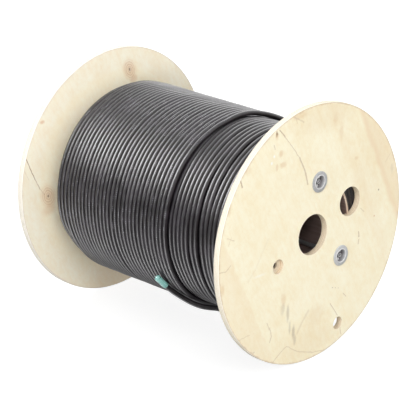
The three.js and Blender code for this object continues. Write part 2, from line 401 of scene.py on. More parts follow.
def veneer_group() -> bpy.types.NodeTree:
    """Peeled veneer with its grain along Z: wide bands, fine lines, mottle, specks and clouds.

    Returns:
        The group.
    """
    tree, sheet, given, out = new_group(
        "veneer", {"Vector": "Vector", "Band Width": "Float", "Line Width": "Float"},
        {"Bands": "Float", "Lines": "Float", "Mottle": "Float", "Specks": "Float", "Clouds": "Float"})
    grain_sway = 34.0
    band_stretch, line_stretch = 7.0, 22.0  # length along the grain, in widths
    shift = sheet.add("ShaderNodeCombineXYZ")
    slow = sheet.scaled(given["Vector"], (1, 0.02, 0.011))
    sheet.feed(shift.inputs["Y"], sheet.sway(slow, 1.0, grain_sway, roughness=0.55))
    grain = sheet.vector("ADD", given["Vector"], shift.outputs[0])
    wide = sheet.vector("DIVIDE", grain, (1.0, 1.0, band_stretch))
    band_scale = sheet.math("DIVIDE", 1.0, given["Band Width"])
    bands = sheet.noise(wide, band_scale, detail=3.0, roughness=0.55)
    sheet.feed(out["Bands"], sheet.remap(bands, 0.3, 0.72))
    thin = sheet.vector("DIVIDE", grain, (1.0, 1.0, line_stretch))
    line_scale = sheet.math("DIVIDE", 1.0, given["Line Width"])
    lines = sheet.noise(thin, line_scale, detail=4.0, roughness=0.65)
    sheet.feed(out["Lines"], sheet.remap(lines, 0.34, 0.7))
    mottle = sheet.noise(sheet.scaled(given["Vector"], (1, 1, 0.6)), scale=0.17, detail=5.0, roughness=0.72)
    sheet.feed(out["Mottle"], sheet.remap(mottle, 0.36, 0.66))
    specks = sheet.noise(sheet.scaled(given["Vector"], (1, 1.1, 0.55)), scale=0.5)
    sheet.feed(out["Specks"], sheet.remap(specks, 0.68, 0.8))
    clouds = sheet.noise(given["Vector"], scale=0.035, detail=3.0, roughness=0.6)
    sheet.feed(out["Clouds"], sheet.remap(clouds, 0.35, 0.68))
    return tree


class Groups:
    """The shader groups that several finishes share, each made once."""

    def __init__(self) -> None:
        """Build them."""
        self.line_mark = line_mark_group()
        self.blot = blot_group()
        self.knot = knot_group()
        self.veneer = veneer_group()


# ---------------- finishes


def new_material(name: str) -> tuple[Material, Sheet, bpy.types.Node]:
    """Return a fresh material, its sheet and its Principled shader, joined to the output.

    Args:
        name: Its name.

    Returns:
        The material, its sheet and its shader.
    """
    material = bpy.data.materials.new(name)
    material.use_nodes = True
    material.node_tree.nodes.clear()
    sheet = Sheet(material.node_tree)
    shader = sheet.add("ShaderNodeBsdfPrincipled")
    output = sheet.add("ShaderNodeOutputMaterial")
    sheet.feed(output.inputs["Surface"], shader.outputs["BSDF"])
    return material, sheet, shader


def flat_millimetres(sheet: Sheet, axis_height: float) -> Socket:
    """Return Object coordinates in millimetres from the drum axis, squashed flat along X."""
    per_metre = 1 / MM
    return sheet.scaled(sheet.place(), (0.0, per_metre, per_metre), (0.0, 0.0, -axis_height * per_metre))


@dataclass(frozen=True)
class LineMark:
    """A crack or scratch through points given as (Y, Z) in millimetres from the axis."""

    points: tuple[Pair, ...]
    width: float = 0.35
    strength: float = 0.8


@dataclass(frozen=True)
class Blot:
    """An oval stain: its middle and half sizes in millimetres, how ragged and how strong it is."""

    centre: Pair
    half: Pair
    strength: float = 0.5
    ragged: float = 0.8


@dataclass(frozen=True)
class Stripe:
    """A darker stripe along the grain: its edges across the grain and softness in millimetres."""

    start: float
    end: float
    soft: float
    strength: float


@dataclass(frozen=True)
class Knot:
    """A knot of the face veneer: its middle and half sizes in millimetres."""

    centre: Pair
    half: Pair


@dataclass(frozen=True)
class PlyFace:
    """The face veneer of a flange, with the marks that handling and drying left on it."""

    name: str
    pale: Colour
    warm: Colour
    cracks: tuple[LineMark, ...] = ()
    stains: tuple[Blot, ...] = ()
    dirt: tuple[Blot, ...] = ()
    flecks: tuple[Blot, ...] = ()
    knots: tuple[Knot, ...] = ()
    stripes: tuple[Stripe, ...] = ()
    stain_colour: Colour = srgb(214, 176, 120)
    dirt_colour: Colour = srgb(150, 130, 104)
    crack_colour: Colour = srgb(158, 116, 62)
    stripe_colour: Colour = srgb(236, 212, 176)
    worn_colour: Colour = srgb(188, 150, 108)
    fleck_colour: Colour = srgb(255, 253, 246)
    halo_colour: Colour = srgb(226, 170, 108)
    ring_colour: Colour = srgb(186, 134, 84)
    heart_colour: Colour = srgb(112, 64, 44)
    band_width: float = 21.0
    line_width: float = 1.7
    grain_degrees: float = 26.0
    grain_strength: float = 1.0
    worn_from: float = 171.6
    worn_to: float = 174.6
    worn: float = 0.4
    # Painted light: a warm yellow tint laid on the wood round the cable in place of the light that the wood
    # bounces there, over the shade that the winding casts, out to where it fades.
    painted_glow_colour: Colour = srgb(255, 238, 192)
    painted_glow: float = 0.0
    painted_glow_reach: Pair = (136.0, 152.0)
    roughness: Pair = (0.52, 0.68)
    gloss: float = 0.3
    # How much each part of the veneer warms it, its specks stain it, and each part of a knot shows.
    veneer_shares: tuple[tuple[str, float], ...] = (
        ("Bands", 0.2), ("Lines", 0.1), ("Mottle", 0.3), ("Clouds", 0.22),
    )
    speck_share: float = 0.3
    halo_share: float = 0.28
    ring_share: float = 0.5
    heart_share: float = 0.6

    def build(self, groups: Groups, axis_height: float) -> Material:
        """Make the material.

        Args:
            groups: The shared shader groups.
            axis_height: Height of the drum axis, where the marks are measured from.

        Returns:
            The material.
        """
        material, sheet, shader = new_material(self.name)
        place = flat_millimetres(sheet, axis_height)
        along_grain = sheet.turned(place, -self.grain_degrees)
        knots = []
        grain_place = along_grain
        for knot in self.knots:
            node = sheet.group(groups.knot, Vector=grain_place, Centre=self.on_grain(knot.centre),
                               Shrink=(0, 1 / knot.half[0], 1 / knot.half[1]))
            grain_place = node.outputs["Vector"]
            knots.append(node)
        veneer = sheet.group(groups.veneer, Vector=grain_place, Band_Width=self.band_width,
                             Line_Width=self.line_width)
        tone: Socket | float = 0.0
        for part, share in self.veneer_shares:
            tone = sheet.plus(tone, sheet.times(veneer.outputs[part], share))
        tone = sheet.math("MULTIPLY", tone, self.grain_strength, clamp=True)
        colour = sheet.mix(tone, self.pale, self.warm)
        for stripe in self.stripes:
            colour = sheet.mix(self.stripe_mask(sheet, along_grain, stripe), colour, self.stripe_colour)
        # Painted bounce light: a warm tint on the wood next to the winding.
        if self.painted_glow:
            painted_glow_mask = sheet.remap(sheet.vector("LENGTH", place), *self.painted_glow_reach, self.painted_glow, 0.0)
            colour = sheet.mix(painted_glow_mask, colour, self.painted_glow_colour)
        specks = sheet.times(veneer.outputs["Specks"], self.speck_share)
        colour = sheet.mix(specks, colour, self.stain_colour)
        for node in knots:
            for part, share, paint in (("Halo", self.halo_share, self.halo_colour),
                                       ("Rings", self.ring_share, self.ring_colour),
                                       ("Heart", self.heart_share, self.heart_colour)):
                colour = sheet.mix(sheet.times(node.outputs[part], share), colour, paint)
        for blots, paint in ((self.stains, self.stain_colour), (self.dirt, self.dirt_colour),
                             (self.flecks, self.fleck_colour)):
            for blot in blots:
                mask = self.blot_mask(sheet, groups, place, blot)
                colour = sheet.mix(mask, colour, paint)
        colour = sheet.mix(self.worn_mask(sheet, place), colour, self.worn_colour)
        cracks = self.crack_mask(sheet, groups, place)
        colour = sheet.mix(cracks, colour, self.crack_colour)
        rough = sheet.remap(veneer.outputs["Lines"], 0.0, 1.0, *self.roughness, smooth=False)
        height = sheet.times(veneer.outputs["Lines"], -1.0)
        sheet.fill(shader, {"Base Color": colour, "Roughness": rough, "Specular IOR Level": self.gloss,
                            "Normal": sheet.bump(height, 0.4, 0.05 * MM)})
        return material

    def on_grain(self, point: Pair) -> tuple[float, float, float]:
        """Return a (Y, Z) place in the coordinates that are turned along the grain."""
        turn = Matrix.Rotation(math.radians(-self.grain_degrees), 2)
        return (0.0, *(turn @ Vector(point)))

    def stripe_mask(self, sheet: Sheet, along_grain: Socket, stripe: Stripe) -> Socket:
        """Return how strongly one stripe shows at each place, its edges wavering a little.

        Args:
            sheet: The sheet.
            along_grain: Places turned along the grain.
            stripe: The stripe.

        Returns:
            The mask.
        """
        edge_sway = 14.0
        y = sheet.apart(along_grain)[1]
        across = sheet.plus(y, sheet.sway(sheet.scaled(along_grain, (1, 0.02, 0.03)), 1.0, edge_sway))
        begun = sheet.remap(across, stripe.start - stripe.soft, stripe.start + stripe.soft)
        ended = sheet.remap(across, stripe.end - stripe.soft, stripe.end + stripe.soft, 1.0, 0.0)
        return sheet.times(sheet.times(begun, ended), stripe.strength)

    def worn_mask(self, sheet: Sheet, place: Socket) -> Socket:
        """Return where the veneer is worn brown, in a ragged line just inside the rim.

        Args:
            sheet: The sheet.
            place: Places in millimetres.

        Returns:
            The mask.
        """
        raggedness = 7.0
        ragged = sheet.sway(place, 0.09, raggedness, detail=4.0, roughness=0.7)
        reach = sheet.plus(sheet.vector("LENGTH", place), ragged)
        return sheet.times(sheet.remap(reach, self.worn_from, self.worn_to), self.worn)

    def blot_mask(self, sheet: Sheet, groups: Groups, place: Socket, blot: Blot) -> Socket:
        """Return how strongly one blot shows at each place."""
        node = sheet.group(groups.blot, Vector=place, Centre=(0, *blot.centre),
                           Shrink=(0, 1 / blot.half[0], 1 / blot.half[1]), Ragged=blot.ragged)
        return sheet.times(node.outputs["Mask"], blot.strength)

    def crack_mask(self, sheet: Sheet, groups: Groups, place: Socket) -> Socket | float:
        """Return the strongest crack at each place, along lines that waver a little.

        Args:
            sheet: The sheet.
            groups: The shared groups.
            place: Places in millimetres.

        Returns:
            The mask, or 0 without cracks.
        """
        if not self.cracks:
            return 0.0
        waver_scale, waver_reach = 0.22, 2.4
        waver = sheet.fill(sheet.add("ShaderNodeTexNoise"), {"Vector": place, "Scale": waver_scale})
        offset = sheet.vector("SUBTRACT", waver.outputs["Color"], (0.5, 0.5, 0.5))
        offset = sheet.vector("MULTIPLY", offset, (0.0, waver_reach, waver_reach))
        wavering = sheet.vector("ADD", place, offset)
        found: Socket | float = 0.0
        for crack in self.cracks:
            for start, end in zip(crack.points, crack.points[1:]):
                node = sheet.group(groups.line_mark, Vector=wavering, Start=(0, *start), End=(0, *end),
                                   Width=crack.width)
                mask = sheet.times(node.outputs["Mask"], crack.strength)
                found = sheet.math("MAXIMUM", found, mask)
        return found


@dataclass(frozen=True)
class PlyEdge:
    """Cut edge of the plywood, with its plies as stripes across the thickness."""

    name: str
    pale: Colour
    dark: Colour
    glue: Colour = srgb(150, 104, 62)
    ply_count: int = 7
    ply_waver: float = 0.25
    glue_from: float = 0.36
    glue_strength: float = 0.55
    ply_contrast: float = 0.42
    fibre_contrast: float = 0.38
    fibre_height: float = 0.6
    gloss: float = 0.2

    def build(self, drum: DrumFrame) -> Material:
        """Make the material.

        Args:
            drum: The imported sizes, for the thickness that the plies share out.

        Returns:
            The material.
        """
        material, sheet, shader = new_material(self.name)
        place = sheet.place()
        depth = sheet.math("SUBTRACT", sheet.math("ABSOLUTE", sheet.apart(place)[0]), drum.inner_face)
        plies = sheet.times(depth, self.ply_count / (drum.outer_face - drum.inner_face))
        plies = sheet.plus(plies, sheet.sway(place, 60.0, self.ply_waver, detail=2.0))
        off_middle = sheet.math("ABSOLUTE", sheet.math("SUBTRACT", sheet.math("FRACT", plies), 0.5))
        glue = sheet.remap(off_middle, self.glue_from, 0.5)
        odd = sheet.math("GREATER_THAN", sheet.math("FRACT", sheet.times(plies, 0.5)), 0.5)
        fibre = sheet.noise(sheet.scaled(place, (2600.0, 500.0, 500.0)), 1.0, detail=3.0, roughness=0.6)
        fibre = sheet.remap(fibre, 0.35, 0.7)
        tone = sheet.plus(sheet.times(odd, self.ply_contrast), sheet.times(fibre, self.fibre_contrast))
        colour = sheet.mix(tone, self.pale, self.dark)
        colour = sheet.mix(sheet.times(glue, self.glue_strength), colour, self.glue)
        rough = sheet.remap(fibre, 0.0, 1.0, 0.7, 0.86, smooth=False)
        height = sheet.math("SUBTRACT", sheet.times(fibre, self.fibre_height), glue)
        sheet.fill(shader, {"Base Color": colour, "Roughness": rough, "Specular IOR Level": self.gloss,
                            "Normal": sheet.bump(height, 0.5, 0.18 * MM)})
        return material


@dataclass(frozen=True)
class BarrelPly:
    """Bent plywood of the barrel, with its grain along the drum axis."""

    name: str
    base: Colour
    dark: Colour
    grain_share: float = 0.6
    cloud_share: float = 0.5

    def build(self) -> Material:
        """Make the material.

        Returns:
            The material.
        """
        material, sheet, shader = new_material(self.name)
        place = sheet.place()
        grain = sheet.noise(sheet.scaled(place, (30.0, 420.0, 420.0)), scale=1.0, detail=4.0, roughness=0.6)
        clouds = sheet.noise(place, scale=22.0, detail=3.0)
        tone = sheet.plus(sheet.times(grain, self.grain_share), sheet.times(clouds, self.cloud_share))
        sheet.fill(shader, {"Base Color": sheet.mix(sheet.remap(tone, 0.35, 0.75), self.base, self.dark),
                            "Roughness": sheet.remap(grain, 0.3, 0.7, 0.72, 0.88),
                            "Normal": sheet.bump(grain, 0.5, 0.2 * MM)})
        return material


@dataclass(frozen=True)
class ZincSteel:
    """Zinc on pressed or turned steel, finely scratched by handling.

    It reads the wear attribute: -1 where edges are rubbed bright, 1 where oil and dust lie and where the
    inside of a cup is painted in shade.
    """

    name: str
    bright: Colour = srgb(200, 200, 201)
    dull: Colour = srgb(178, 178, 180)
    raised: Colour = srgb(240, 240, 239)
    grime_and_shade: Colour = srgb(80, 72, 75)
    spangle_scale: float = 700.0
    spangle_share: float = 0.4
    haze_share: float = 0.8
    metallic: float = 0.35

    def build(self) -> Material:
        """Make the material.

        Returns:
            The material.
        """
        material, sheet, shader = new_material(self.name)
        place = sheet.place()
        spangle = sheet.fill(sheet.add("ShaderNodeTexVoronoi", feature="F1"),
                             {"Vector": place, "Scale": self.spangle_scale})
        cell = sheet.times(spangle.outputs["Color"], self.spangle_share)
        haze = sheet.noise(place, scale=240.0, detail=4.0, roughness=0.65)
        tone = sheet.remap(sheet.plus(sheet.times(haze, self.haze_share), cell), 0.3, 0.9)
        wear = sheet.add("ShaderNodeAttribute", attribute_name="wear")
        colour = sheet.mix(tone, self.bright, self.dull)
        colour = sheet.mix(sheet.remap(wear.outputs["Fac"], 0.0, -1.0, 0.0, 1.0), colour, self.raised)
        colour = sheet.mix(sheet.remap(wear.outputs["Fac"], 0.0, 1.0), colour, self.grime_and_shade)
        scratch = sheet.noise(sheet.scaled(place, (300.0, 2600.0, 500.0)), scale=1.0, detail=3.0)
        sheet.fill(shader, {"Base Color": colour, "Roughness": sheet.remap(haze, 0.3, 0.75, 0.36, 0.5),
                            "Normal": sheet.bump(scratch, 0.25, 0.05 * MM), "Metallic": self.metallic})
        return material


@dataclass(frozen=True)
class CableJacket:
    """Black jacket of the cable: slightly satin, dusty in places, and with plain ticks if it has any.

    Ticks read the run attribute: metres along the cable and turns around it. They stand in blocks,
    each from one length to another of every print pitch, on a line that slowly winds round.
    """

    name: str
    black: Colour = srgb(16, 13, 16)
    dusty: Colour = srgb(48, 43, 50)
    dust: float = 0.5
    gloss: float = 0.8
    tick: Colour = srgb(150, 150, 156)
    has_ticks: bool = False
    tick_strength: float = 0.65
    tick_pitch: float = 2.7 * MM
    tick_share: float = 0.5
    tick_inside: float = 0.022
    tick_outside: float = 0.038
    winding_middle: float = 0.36
    winding_reach: float = 0.55
    print_pitch: float = 825.0 * MM
    prints: Steps = ((112.0 * MM, 218.0 * MM), (252.0 * MM, 322.0 * MM))

    def build(self) -> Material:
        """Make the material.

        Returns:
            The material.
        """
        fine_share = 0.3
        material, sheet, shader = new_material(self.name)
        place = sheet.place()
        dust = sheet.noise(place, scale=38.0, detail=4.0, roughness=0.62)
        fine = sheet.noise(place, scale=900.0)
        tone = sheet.plus(sheet.remap(dust, 0.42, 0.75), sheet.times(fine, fine_share))
        tone = sheet.times(tone, self.dust)
        colour = sheet.mix(tone, self.black, self.dusty)
        if self.has_ticks:
            colour = sheet.mix(self.tick_mask(sheet), colour, self.tick)
        sheet.fill(shader, {"Base Color": colour, "Roughness": sheet.remap(dust, 0.35, 0.7, 0.33, 0.46),
                            "Normal": sheet.bump(fine, 0.05, 0.05 * MM), "Specular IOR Level": self.gloss})
        return material

    def tick_mask(self, sheet: Sheet) -> Socket:
        """Return where the ticks are: short dashes in blocks, rubbed away in places.

        Args:
            sheet: The sheet.

        Returns:
            The mask.
        """
        run = sheet.add("ShaderNodeAttribute", attribute_name="run").outputs["Vector"]
        along, around = sheet.apart(run)[:2]
        winding = sheet.noise(sheet.scaled(run, (0.9, 0.0, 0.0)), scale=1.0, detail=1.0)
        centre = sheet.math("SUBTRACT", winding, self.winding_middle)
        centre = sheet.times(centre, self.winding_reach)
        off_line = sheet.math("ABSOLUTE", sheet.math("SUBTRACT", around, centre))
        on_line = sheet.remap(off_line, self.tick_inside, self.tick_outside, 1.0, 0.0)
        dash = sheet.math("FRACT", sheet.math("DIVIDE", along, self.tick_pitch))
        dash = sheet.math("LESS_THAN", dash, self.tick_share)
        place = sheet.math("MODULO", along, self.print_pitch)
        printed: Socket | float = 0.0
        for start, end in self.prints:
            begun = sheet.math("GREATER_THAN", place, start)
            in_block = sheet.times(begun, sheet.math("LESS_THAN", place, end))
            printed = sheet.math("MAXIMUM", printed, in_block)
        left = sheet.noise(sheet.scaled(run, (70.0, 0.0, 0.0)), scale=1.0, detail=3.0)
        left = sheet.remap(left, 0.46, 0.62)
        dash = sheet.times(on_line, dash)
        mask = sheet.times(dash, sheet.times(printed, left))
        return sheet.times(mask, self.tick_strength)


@dataclass(frozen=True)
class CapPlastic:
    """Soft turquoise plastic of the cable's end cap."""

    name: str
    base: Colour = srgb(146, 194, 188)
    deep: Colour = srgb(118, 172, 165)
    gloss: float = 0.7
    subsurface: float = 0.1
    light_reach: tuple[float, float, float] = (2 * MM, 3 * MM, 3 * MM)

    def build(self) -> Material:
        """Make the material.

        Returns:
            The material.
        """
        material, sheet, shader = new_material(self.name)
        clouds = sheet.noise(sheet.place(), scale=160.0, detail=3.0, roughness=0.6)
        sheet.fill(shader, {"Base Color": sheet.mix(sheet.remap(clouds, 0.35, 0.7), self.base, self.deep),
                            "Roughness": sheet.remap(clouds, 0.3, 0.7, 0.16, 0.26),
                            "Normal": sheet.bump(clouds, 0.2, 0.2 * MM), "Specular IOR Level": self.gloss,
                            "Subsurface Weight": self.subsurface, "Subsurface Radius": self.light_reach})
        return material


# ---------------- mesh work


def linked(name: str, data: bpy.types.ID) -> Piece:
    """Return a new object with its data, linked into the scene.

    Args:
        name: Its name.
        data: Its mesh, curve, lamp or camera.

    Returns:
        The object.
    """
    piece = bpy.data.objects.new(name, data)
    bpy.context.scene.collection.objects.link(piece)
    return piece


def soften(shape: Shape, edges: Sequence[bmesh.types.BMEdge], width: float, segments: int) -> None:
    """Round edges over by a width, in so many segments."""
    bmesh.ops.bevel(shape, geom=edges, offset=width, offset_type="OFFSET", affect="EDGES",
                    segments=segments, profile=0.5, material=-1, clamp_overlap=True)


def mesh_object(name: str, shape: Shape, materials: Sequence[Material],
                sharp_degrees: float = 35.0) -> Piece:
    """Turn a bmesh into a smooth-shaded object with its place in its mesh.

    Args:
        name: The piece's name.
        shape: The finished bmesh, which is freed.
        materials: Its material slots in order.
        sharp_degrees: Edges that turn more than this stay sharp.

    Returns:
        The object, linked into the scene.
    """
    mesh = bpy.data.meshes.new(name)
    shape.to_mesh(mesh)
    shape.free()
    for material in materials:
        mesh.materials.append(material)
    mesh.polygons.foreach_set("use_smooth", [True] * len(mesh.polygons))
    mesh.set_sharp_from_angle(angle=math.radians(sharp_degrees))
    return linked(name, mesh)


def spun(outline: Sequence[Pair], steps: int, closed: bool = True) -> Shape:
    """Spin an outline of (radius, x) pairs about the X axis into a closed shell.

    Args:
        outline: Its corners in order, closed on themselves or with both ends on the axis.
        steps: How many steps the full turn has.
        closed: Whether the last corner joins the first.

    Returns:
        The shell, with its faces pointing out.
    """
    shape = bmesh.new()
    corners = [shape.verts.new((x, radius, 0.0)) for radius, x in outline]
    following = corners[1:] + corners[:1] if closed else corners[1:]
    edges = [shape.edges.new(pair) for pair in zip(corners, following)]
    bmesh.ops.spin(shape, geom=corners + edges, cent=(0, 0, 0), axis=(1, 0, 0), dvec=(0, 0, 0),
                   angle=2 * math.pi, steps=steps, use_merge=True, use_duplicate=False)
    bmesh.ops.remove_doubles(shape, verts=shape.verts, dist=1e-6)
    bmesh.ops.dissolve_degenerate(shape, edges=shape.edges, dist=1e-7)
    bmesh.ops.recalc_face_normals(shape, faces=shape.faces)
    return shape


def arc(centre: Pair, radius: float, start: float, end: float, steps: int) -> list[Pair]:
    """Return points of an arc in an outline, angles in degrees from the radius axis towards +x."""
    angles = (math.radians(start + (end - start) * step / steps) for step in range(steps + 1))
    return [(centre[0] + radius * math.cos(angle), centre[1] + radius * math.sin(angle)) for angle in angles]


def cylinder(radius: float, x0: float, x1: float, centre: Vector, sides: int) -> Shape:
    """Return a plain closed cylinder along X, from x0 to x1 about a point of the YZ plane.

    Args:
        radius: Its radius.
        x0: One end.
        x1: The other end.
        centre: Any point of its axis.
        sides: How many sides it has.

    Returns:
        The cylinder.
    """
    shape = bmesh.new()
    bmesh.ops.create_cone(shape, cap_ends=True, segments=sides, radius1=radius, radius2=radius,
                          depth=abs(x1 - x0))
    turn = Matrix.Rotation(math.radians(90), 4, "Y")
    move = Matrix.Translation(((x0 + x1) / 2, centre.y, centre.z))
    bmesh.ops.transform(shape, matrix=move @ turn, verts=shape.verts)
    return shape


def finished_mesh(piece: Piece) -> bpy.types.Mesh:
    """Return a copy of an object's mesh with its modifiers or curve bevel worked in."""
    graph = bpy.context.evaluated_depsgraph_get()
    return bpy.data.meshes.new_from_object(piece.evaluated_get(graph))


def write_wear(piece: Piece, middle: Vector, wear_at: Callable[[float, float], float]) -> None:
    """Store the wear of each vertex of a metal piece, from -1 rubbed bright to 1 grimy or in painted shade.

    Args:
        piece: The piece, which lies along X.
        middle: A point on its axis.
        wear_at: Gives the wear from how far a place is off that axis and how far out along X.
    """
    values = [wear_at(math.hypot(vertex.co.y - middle.y, vertex.co.z - middle.z), abs(vertex.co.x))
              for vertex in piece.data.vertices]
    piece.data.attributes.new("wear", "FLOAT", "POINT").data.foreach_set("value", values)


def drop(piece: Piece) -> None:
    """Remove a helper object."""
    bpy.data.objects.remove(piece, do_unlink=True)


def cut(body: Piece, cutters: Sequence[Piece]) -> None:
    """Cut every cutter out of a body for good and remove the cutters.

    Args:
        body: What is cut.
        cutters: What is taken away.
    """
    for cutter in cutters:
        modifier = body.modifiers.new(cutter.name, "BOOLEAN")
        modifier.operation = "DIFFERENCE"
        modifier.solver = "EXACT"
        modifier.object = cutter
    bpy.context.view_layer.update()
    mesh = finished_mesh(body)
    body.modifiers.clear()
    body.data = mesh
    for cutter in cutters:
        drop(cutter)


def add_piece(piece: Piece, slot: str, *nodes: str) -> Piece:
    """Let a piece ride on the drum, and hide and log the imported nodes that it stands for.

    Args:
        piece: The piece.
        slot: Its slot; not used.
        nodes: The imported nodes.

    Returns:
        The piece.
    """
    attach(piece, BODY)
    if nodes:
        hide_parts(*nodes)
    form = piece.type.lower()
    if piece.type == "MESH":
        form = f"{sum(len(face.vertices) - 2 for face in piece.data.polygons)} triangles"
    LOG.info("%s: %s, stands for %s", piece.name, form, ", ".join(nodes) or "nothing")
    return piece


# ---------------- camera


@dataclass
class StudioCamera:
    """The camera that looks at the drum from the front of its lead-out side."""

    azimuth: float = 45.64
    elevation: float = 20.38
    distance: float = 2.7572
    raise_by: float = -0.01162
    lens: float = 176.82
    sensor: float = 36.0
    clip: Pair = (0.05, 60.0)

    def build(self, target: Vector) -> Piece:
        """Make the camera and set it as the scene's.

        Args:
            target: The point that the angles are measured about.

        Returns:
            The camera.
        """
        azimuth, elevation = math.radians(self.azimuth), math.radians(self.elevation)
        back = Vector((math.cos(elevation) * math.cos(azimuth), -math.cos(elevation) * math.sin(azimuth),
                       math.sin(elevation)))
        turn = back.to_track_quat("Z", "Y")
        data = bpy.data.cameras.new("studio_camera")
        data.lens = self.lens
        data.sensor_width = self.sensor
        data.clip_start, data.clip_end = self.clip
        camera = linked("studio_camera", data)
        camera.rotation_mode = "QUATERNION"
        camera.rotation_quaternion = turn
        camera.location = target + back * self.distance + turn @ Vector((0.0, self.raise_by, 0.0))
        bpy.context.scene.camera = camera
        return camera


# ---------------- cable


def eased(start: Vector, leave: Vector, end: Vector, reach: Vector, t: float) -> Vector:
    """Find a point of the cubic curve between two points with given slopes.

    Args:
        start: Where it starts.
        leave: Its slope there.
        end: Where it ends.
        reach: Its slope there.
        t: How far along it, from 0 to 1.

    Returns:
        The point.
    """
    square, cube = t * t, t * t * t
    return (start * (2 * cube - 3 * square + 1) + leave * (cube - 2 * square + t)
            + end * (3 * square - 2 * cube) + reach * (cube - square))


def smooth_route(points: Sequence[Vector], steps: int) -> list[Vector]:
    """Return a centripetal Catmull-Rom curve through points, with steps points to each span.

    Args:
        points: Points that it passes through.
        steps: Points to each span.

    Returns:
        The curve, as points.
    """
    ends = [2 * points[0] - points[1], *points, 2 * points[-1] - points[-2]]
    route = [points[0].copy()]
    for before, start, end, after in zip(ends, ends[1:], ends[2:], ends[3:]):
        gap0 = math.sqrt((start - before).length)
        gap1 = math.sqrt((end - start).length)
        gap2 = math.sqrt((after - end).length)
        leave = (start - before) / gap0 - (end - before) / (gap0 + gap1) + (end - start) / gap1
        reach = (end - start) / gap1 - (after - start) / (gap1 + gap2) + (after - end) / gap2
        route += [eased(start, leave * gap1, end, reach * gap1, step / steps) for step in range(1, steps + 1)]
    return route


def cable_curve(name: str, route: Sequence[Vector], radius: float, bevel_steps: int) -> Piece:
    """Return a round tube along a route, as a curve of one open spline.

    Args:
        name: Its name.
        route: Its centre line.
        radius: Its radius.
        bevel_steps: How finely it is rounded.

    Returns:
        The tube.
    """
    data = bpy.data.curves.new(name, "CURVE")
    data.dimensions = "3D"
    data.bevel_depth = radius
    data.bevel_resolution = bevel_steps
    data.use_fill_caps = True
    spline = data.splines.new("POLY")
    spline.points.add(len(route) - 1)
    spline.points.foreach_set("co", [value for point in route for value in (*point, 1.0)])
    spline.use_smooth = True
    return linked(name, data)


@dataclass
class Cable:
    """The jacketed cable and how its layers nest on the barrel."""

    diameter: float = 7.1 * MM
    layers: int = 9
    barrel_radius: float = 78.5 * MM

    @property
    def radius(self) -> float:
        """Half the cable's diameter."""
        return self.diameter / 2

    @property
    def layer_pitch(self) -> float:
        """How much further out each nested layer lies."""
        return self.diameter * math.cos(math.pi / 6)

    def layer_radius(self, layer: int) -> float:
        """Return the radius of a layer's centre line, counting from 1 on the barrel."""
        return self.barrel_radius + self.radius + (layer - 1) * self.layer_pitch


@dataclass
class LooseEnd:
    """The free end: off the edge of the outer layer, round the back and up over the step."""

    cable: Cable
    drum: DrumFrame
    finish: CableJacket
    points_per_span: int = 8
    bevel_steps: int = 6

    def route_points(self) -> list[Vector]:
        """Return the chosen points of the route, each from its X, degrees and height on the open layer.

        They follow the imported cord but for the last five, which bring the cap round to its place.

        Returns:
            The points, from the layer's edge to the cap.
        """
        lie = 3.85  # height of a cable's middle where it lies across the turns
        over = lie + self.cable.layer_pitch / MM
        crest = self.cable.layer_radius(self.cable.layers - 1) + self.cable.radius
        chosen = [
            (61.2, 76, lie), (64.5, 71, lie), (69.5, 65, lie), (74.5, 58, lie), (79.5, 49, lie),
            (84, 37, lie), (87.5, 22, lie), (90, 5, lie), (91.5, -13, lie), (92, -31, lie),
            (92, -49, lie), (91.5, -66, lie), (90, -81, lie), (87, -94, lie), (83.5, -104, lie),
            (79.5, -111.5, lie), (75.5, -117, lie + 0.6), (70.5, -120.3, lie + 2.7),
            (65.5, -122.8, lie + 4.6), (60.5, -125.2, over - 0.4), (54.5, -128, over + 0.2),
            (48.3, -131.3, over + 0.3), (42.6, -134.4, over + 0.3), (37.6, -137.4, over + 0.4),
            (33.9, -140.5, over + 0.6), (31.5, -144, over + 1.0),
        ]
        return [self.drum.on_circle(crest + height * MM, angle, x * MM) for x, angle, height in chosen]

    def build(self, cap: EndCap) -> Piece:
        """Args:
            cap: The cap on the cord's end.

        Returns:
            The cord.
        """
        route = smooth_route(self.route_points(), self.points_per_span)
        length = sum((after - before).length for before, after in zip(route, route[1:]))
        cord = cable_curve("loose_end", route, self.cable.radius, self.bevel_steps)
        cord.data.materials.append(self.finish.build())
        capped = cap.build(route[-1], (route[-1] - route[-2]).normalized())
        add_piece(cord, "cable_jacket", "cable_loose_end")
        tuple(route[0])
        LOG.info("loose end: %.0f mm of cable", length / MM)
        return cord


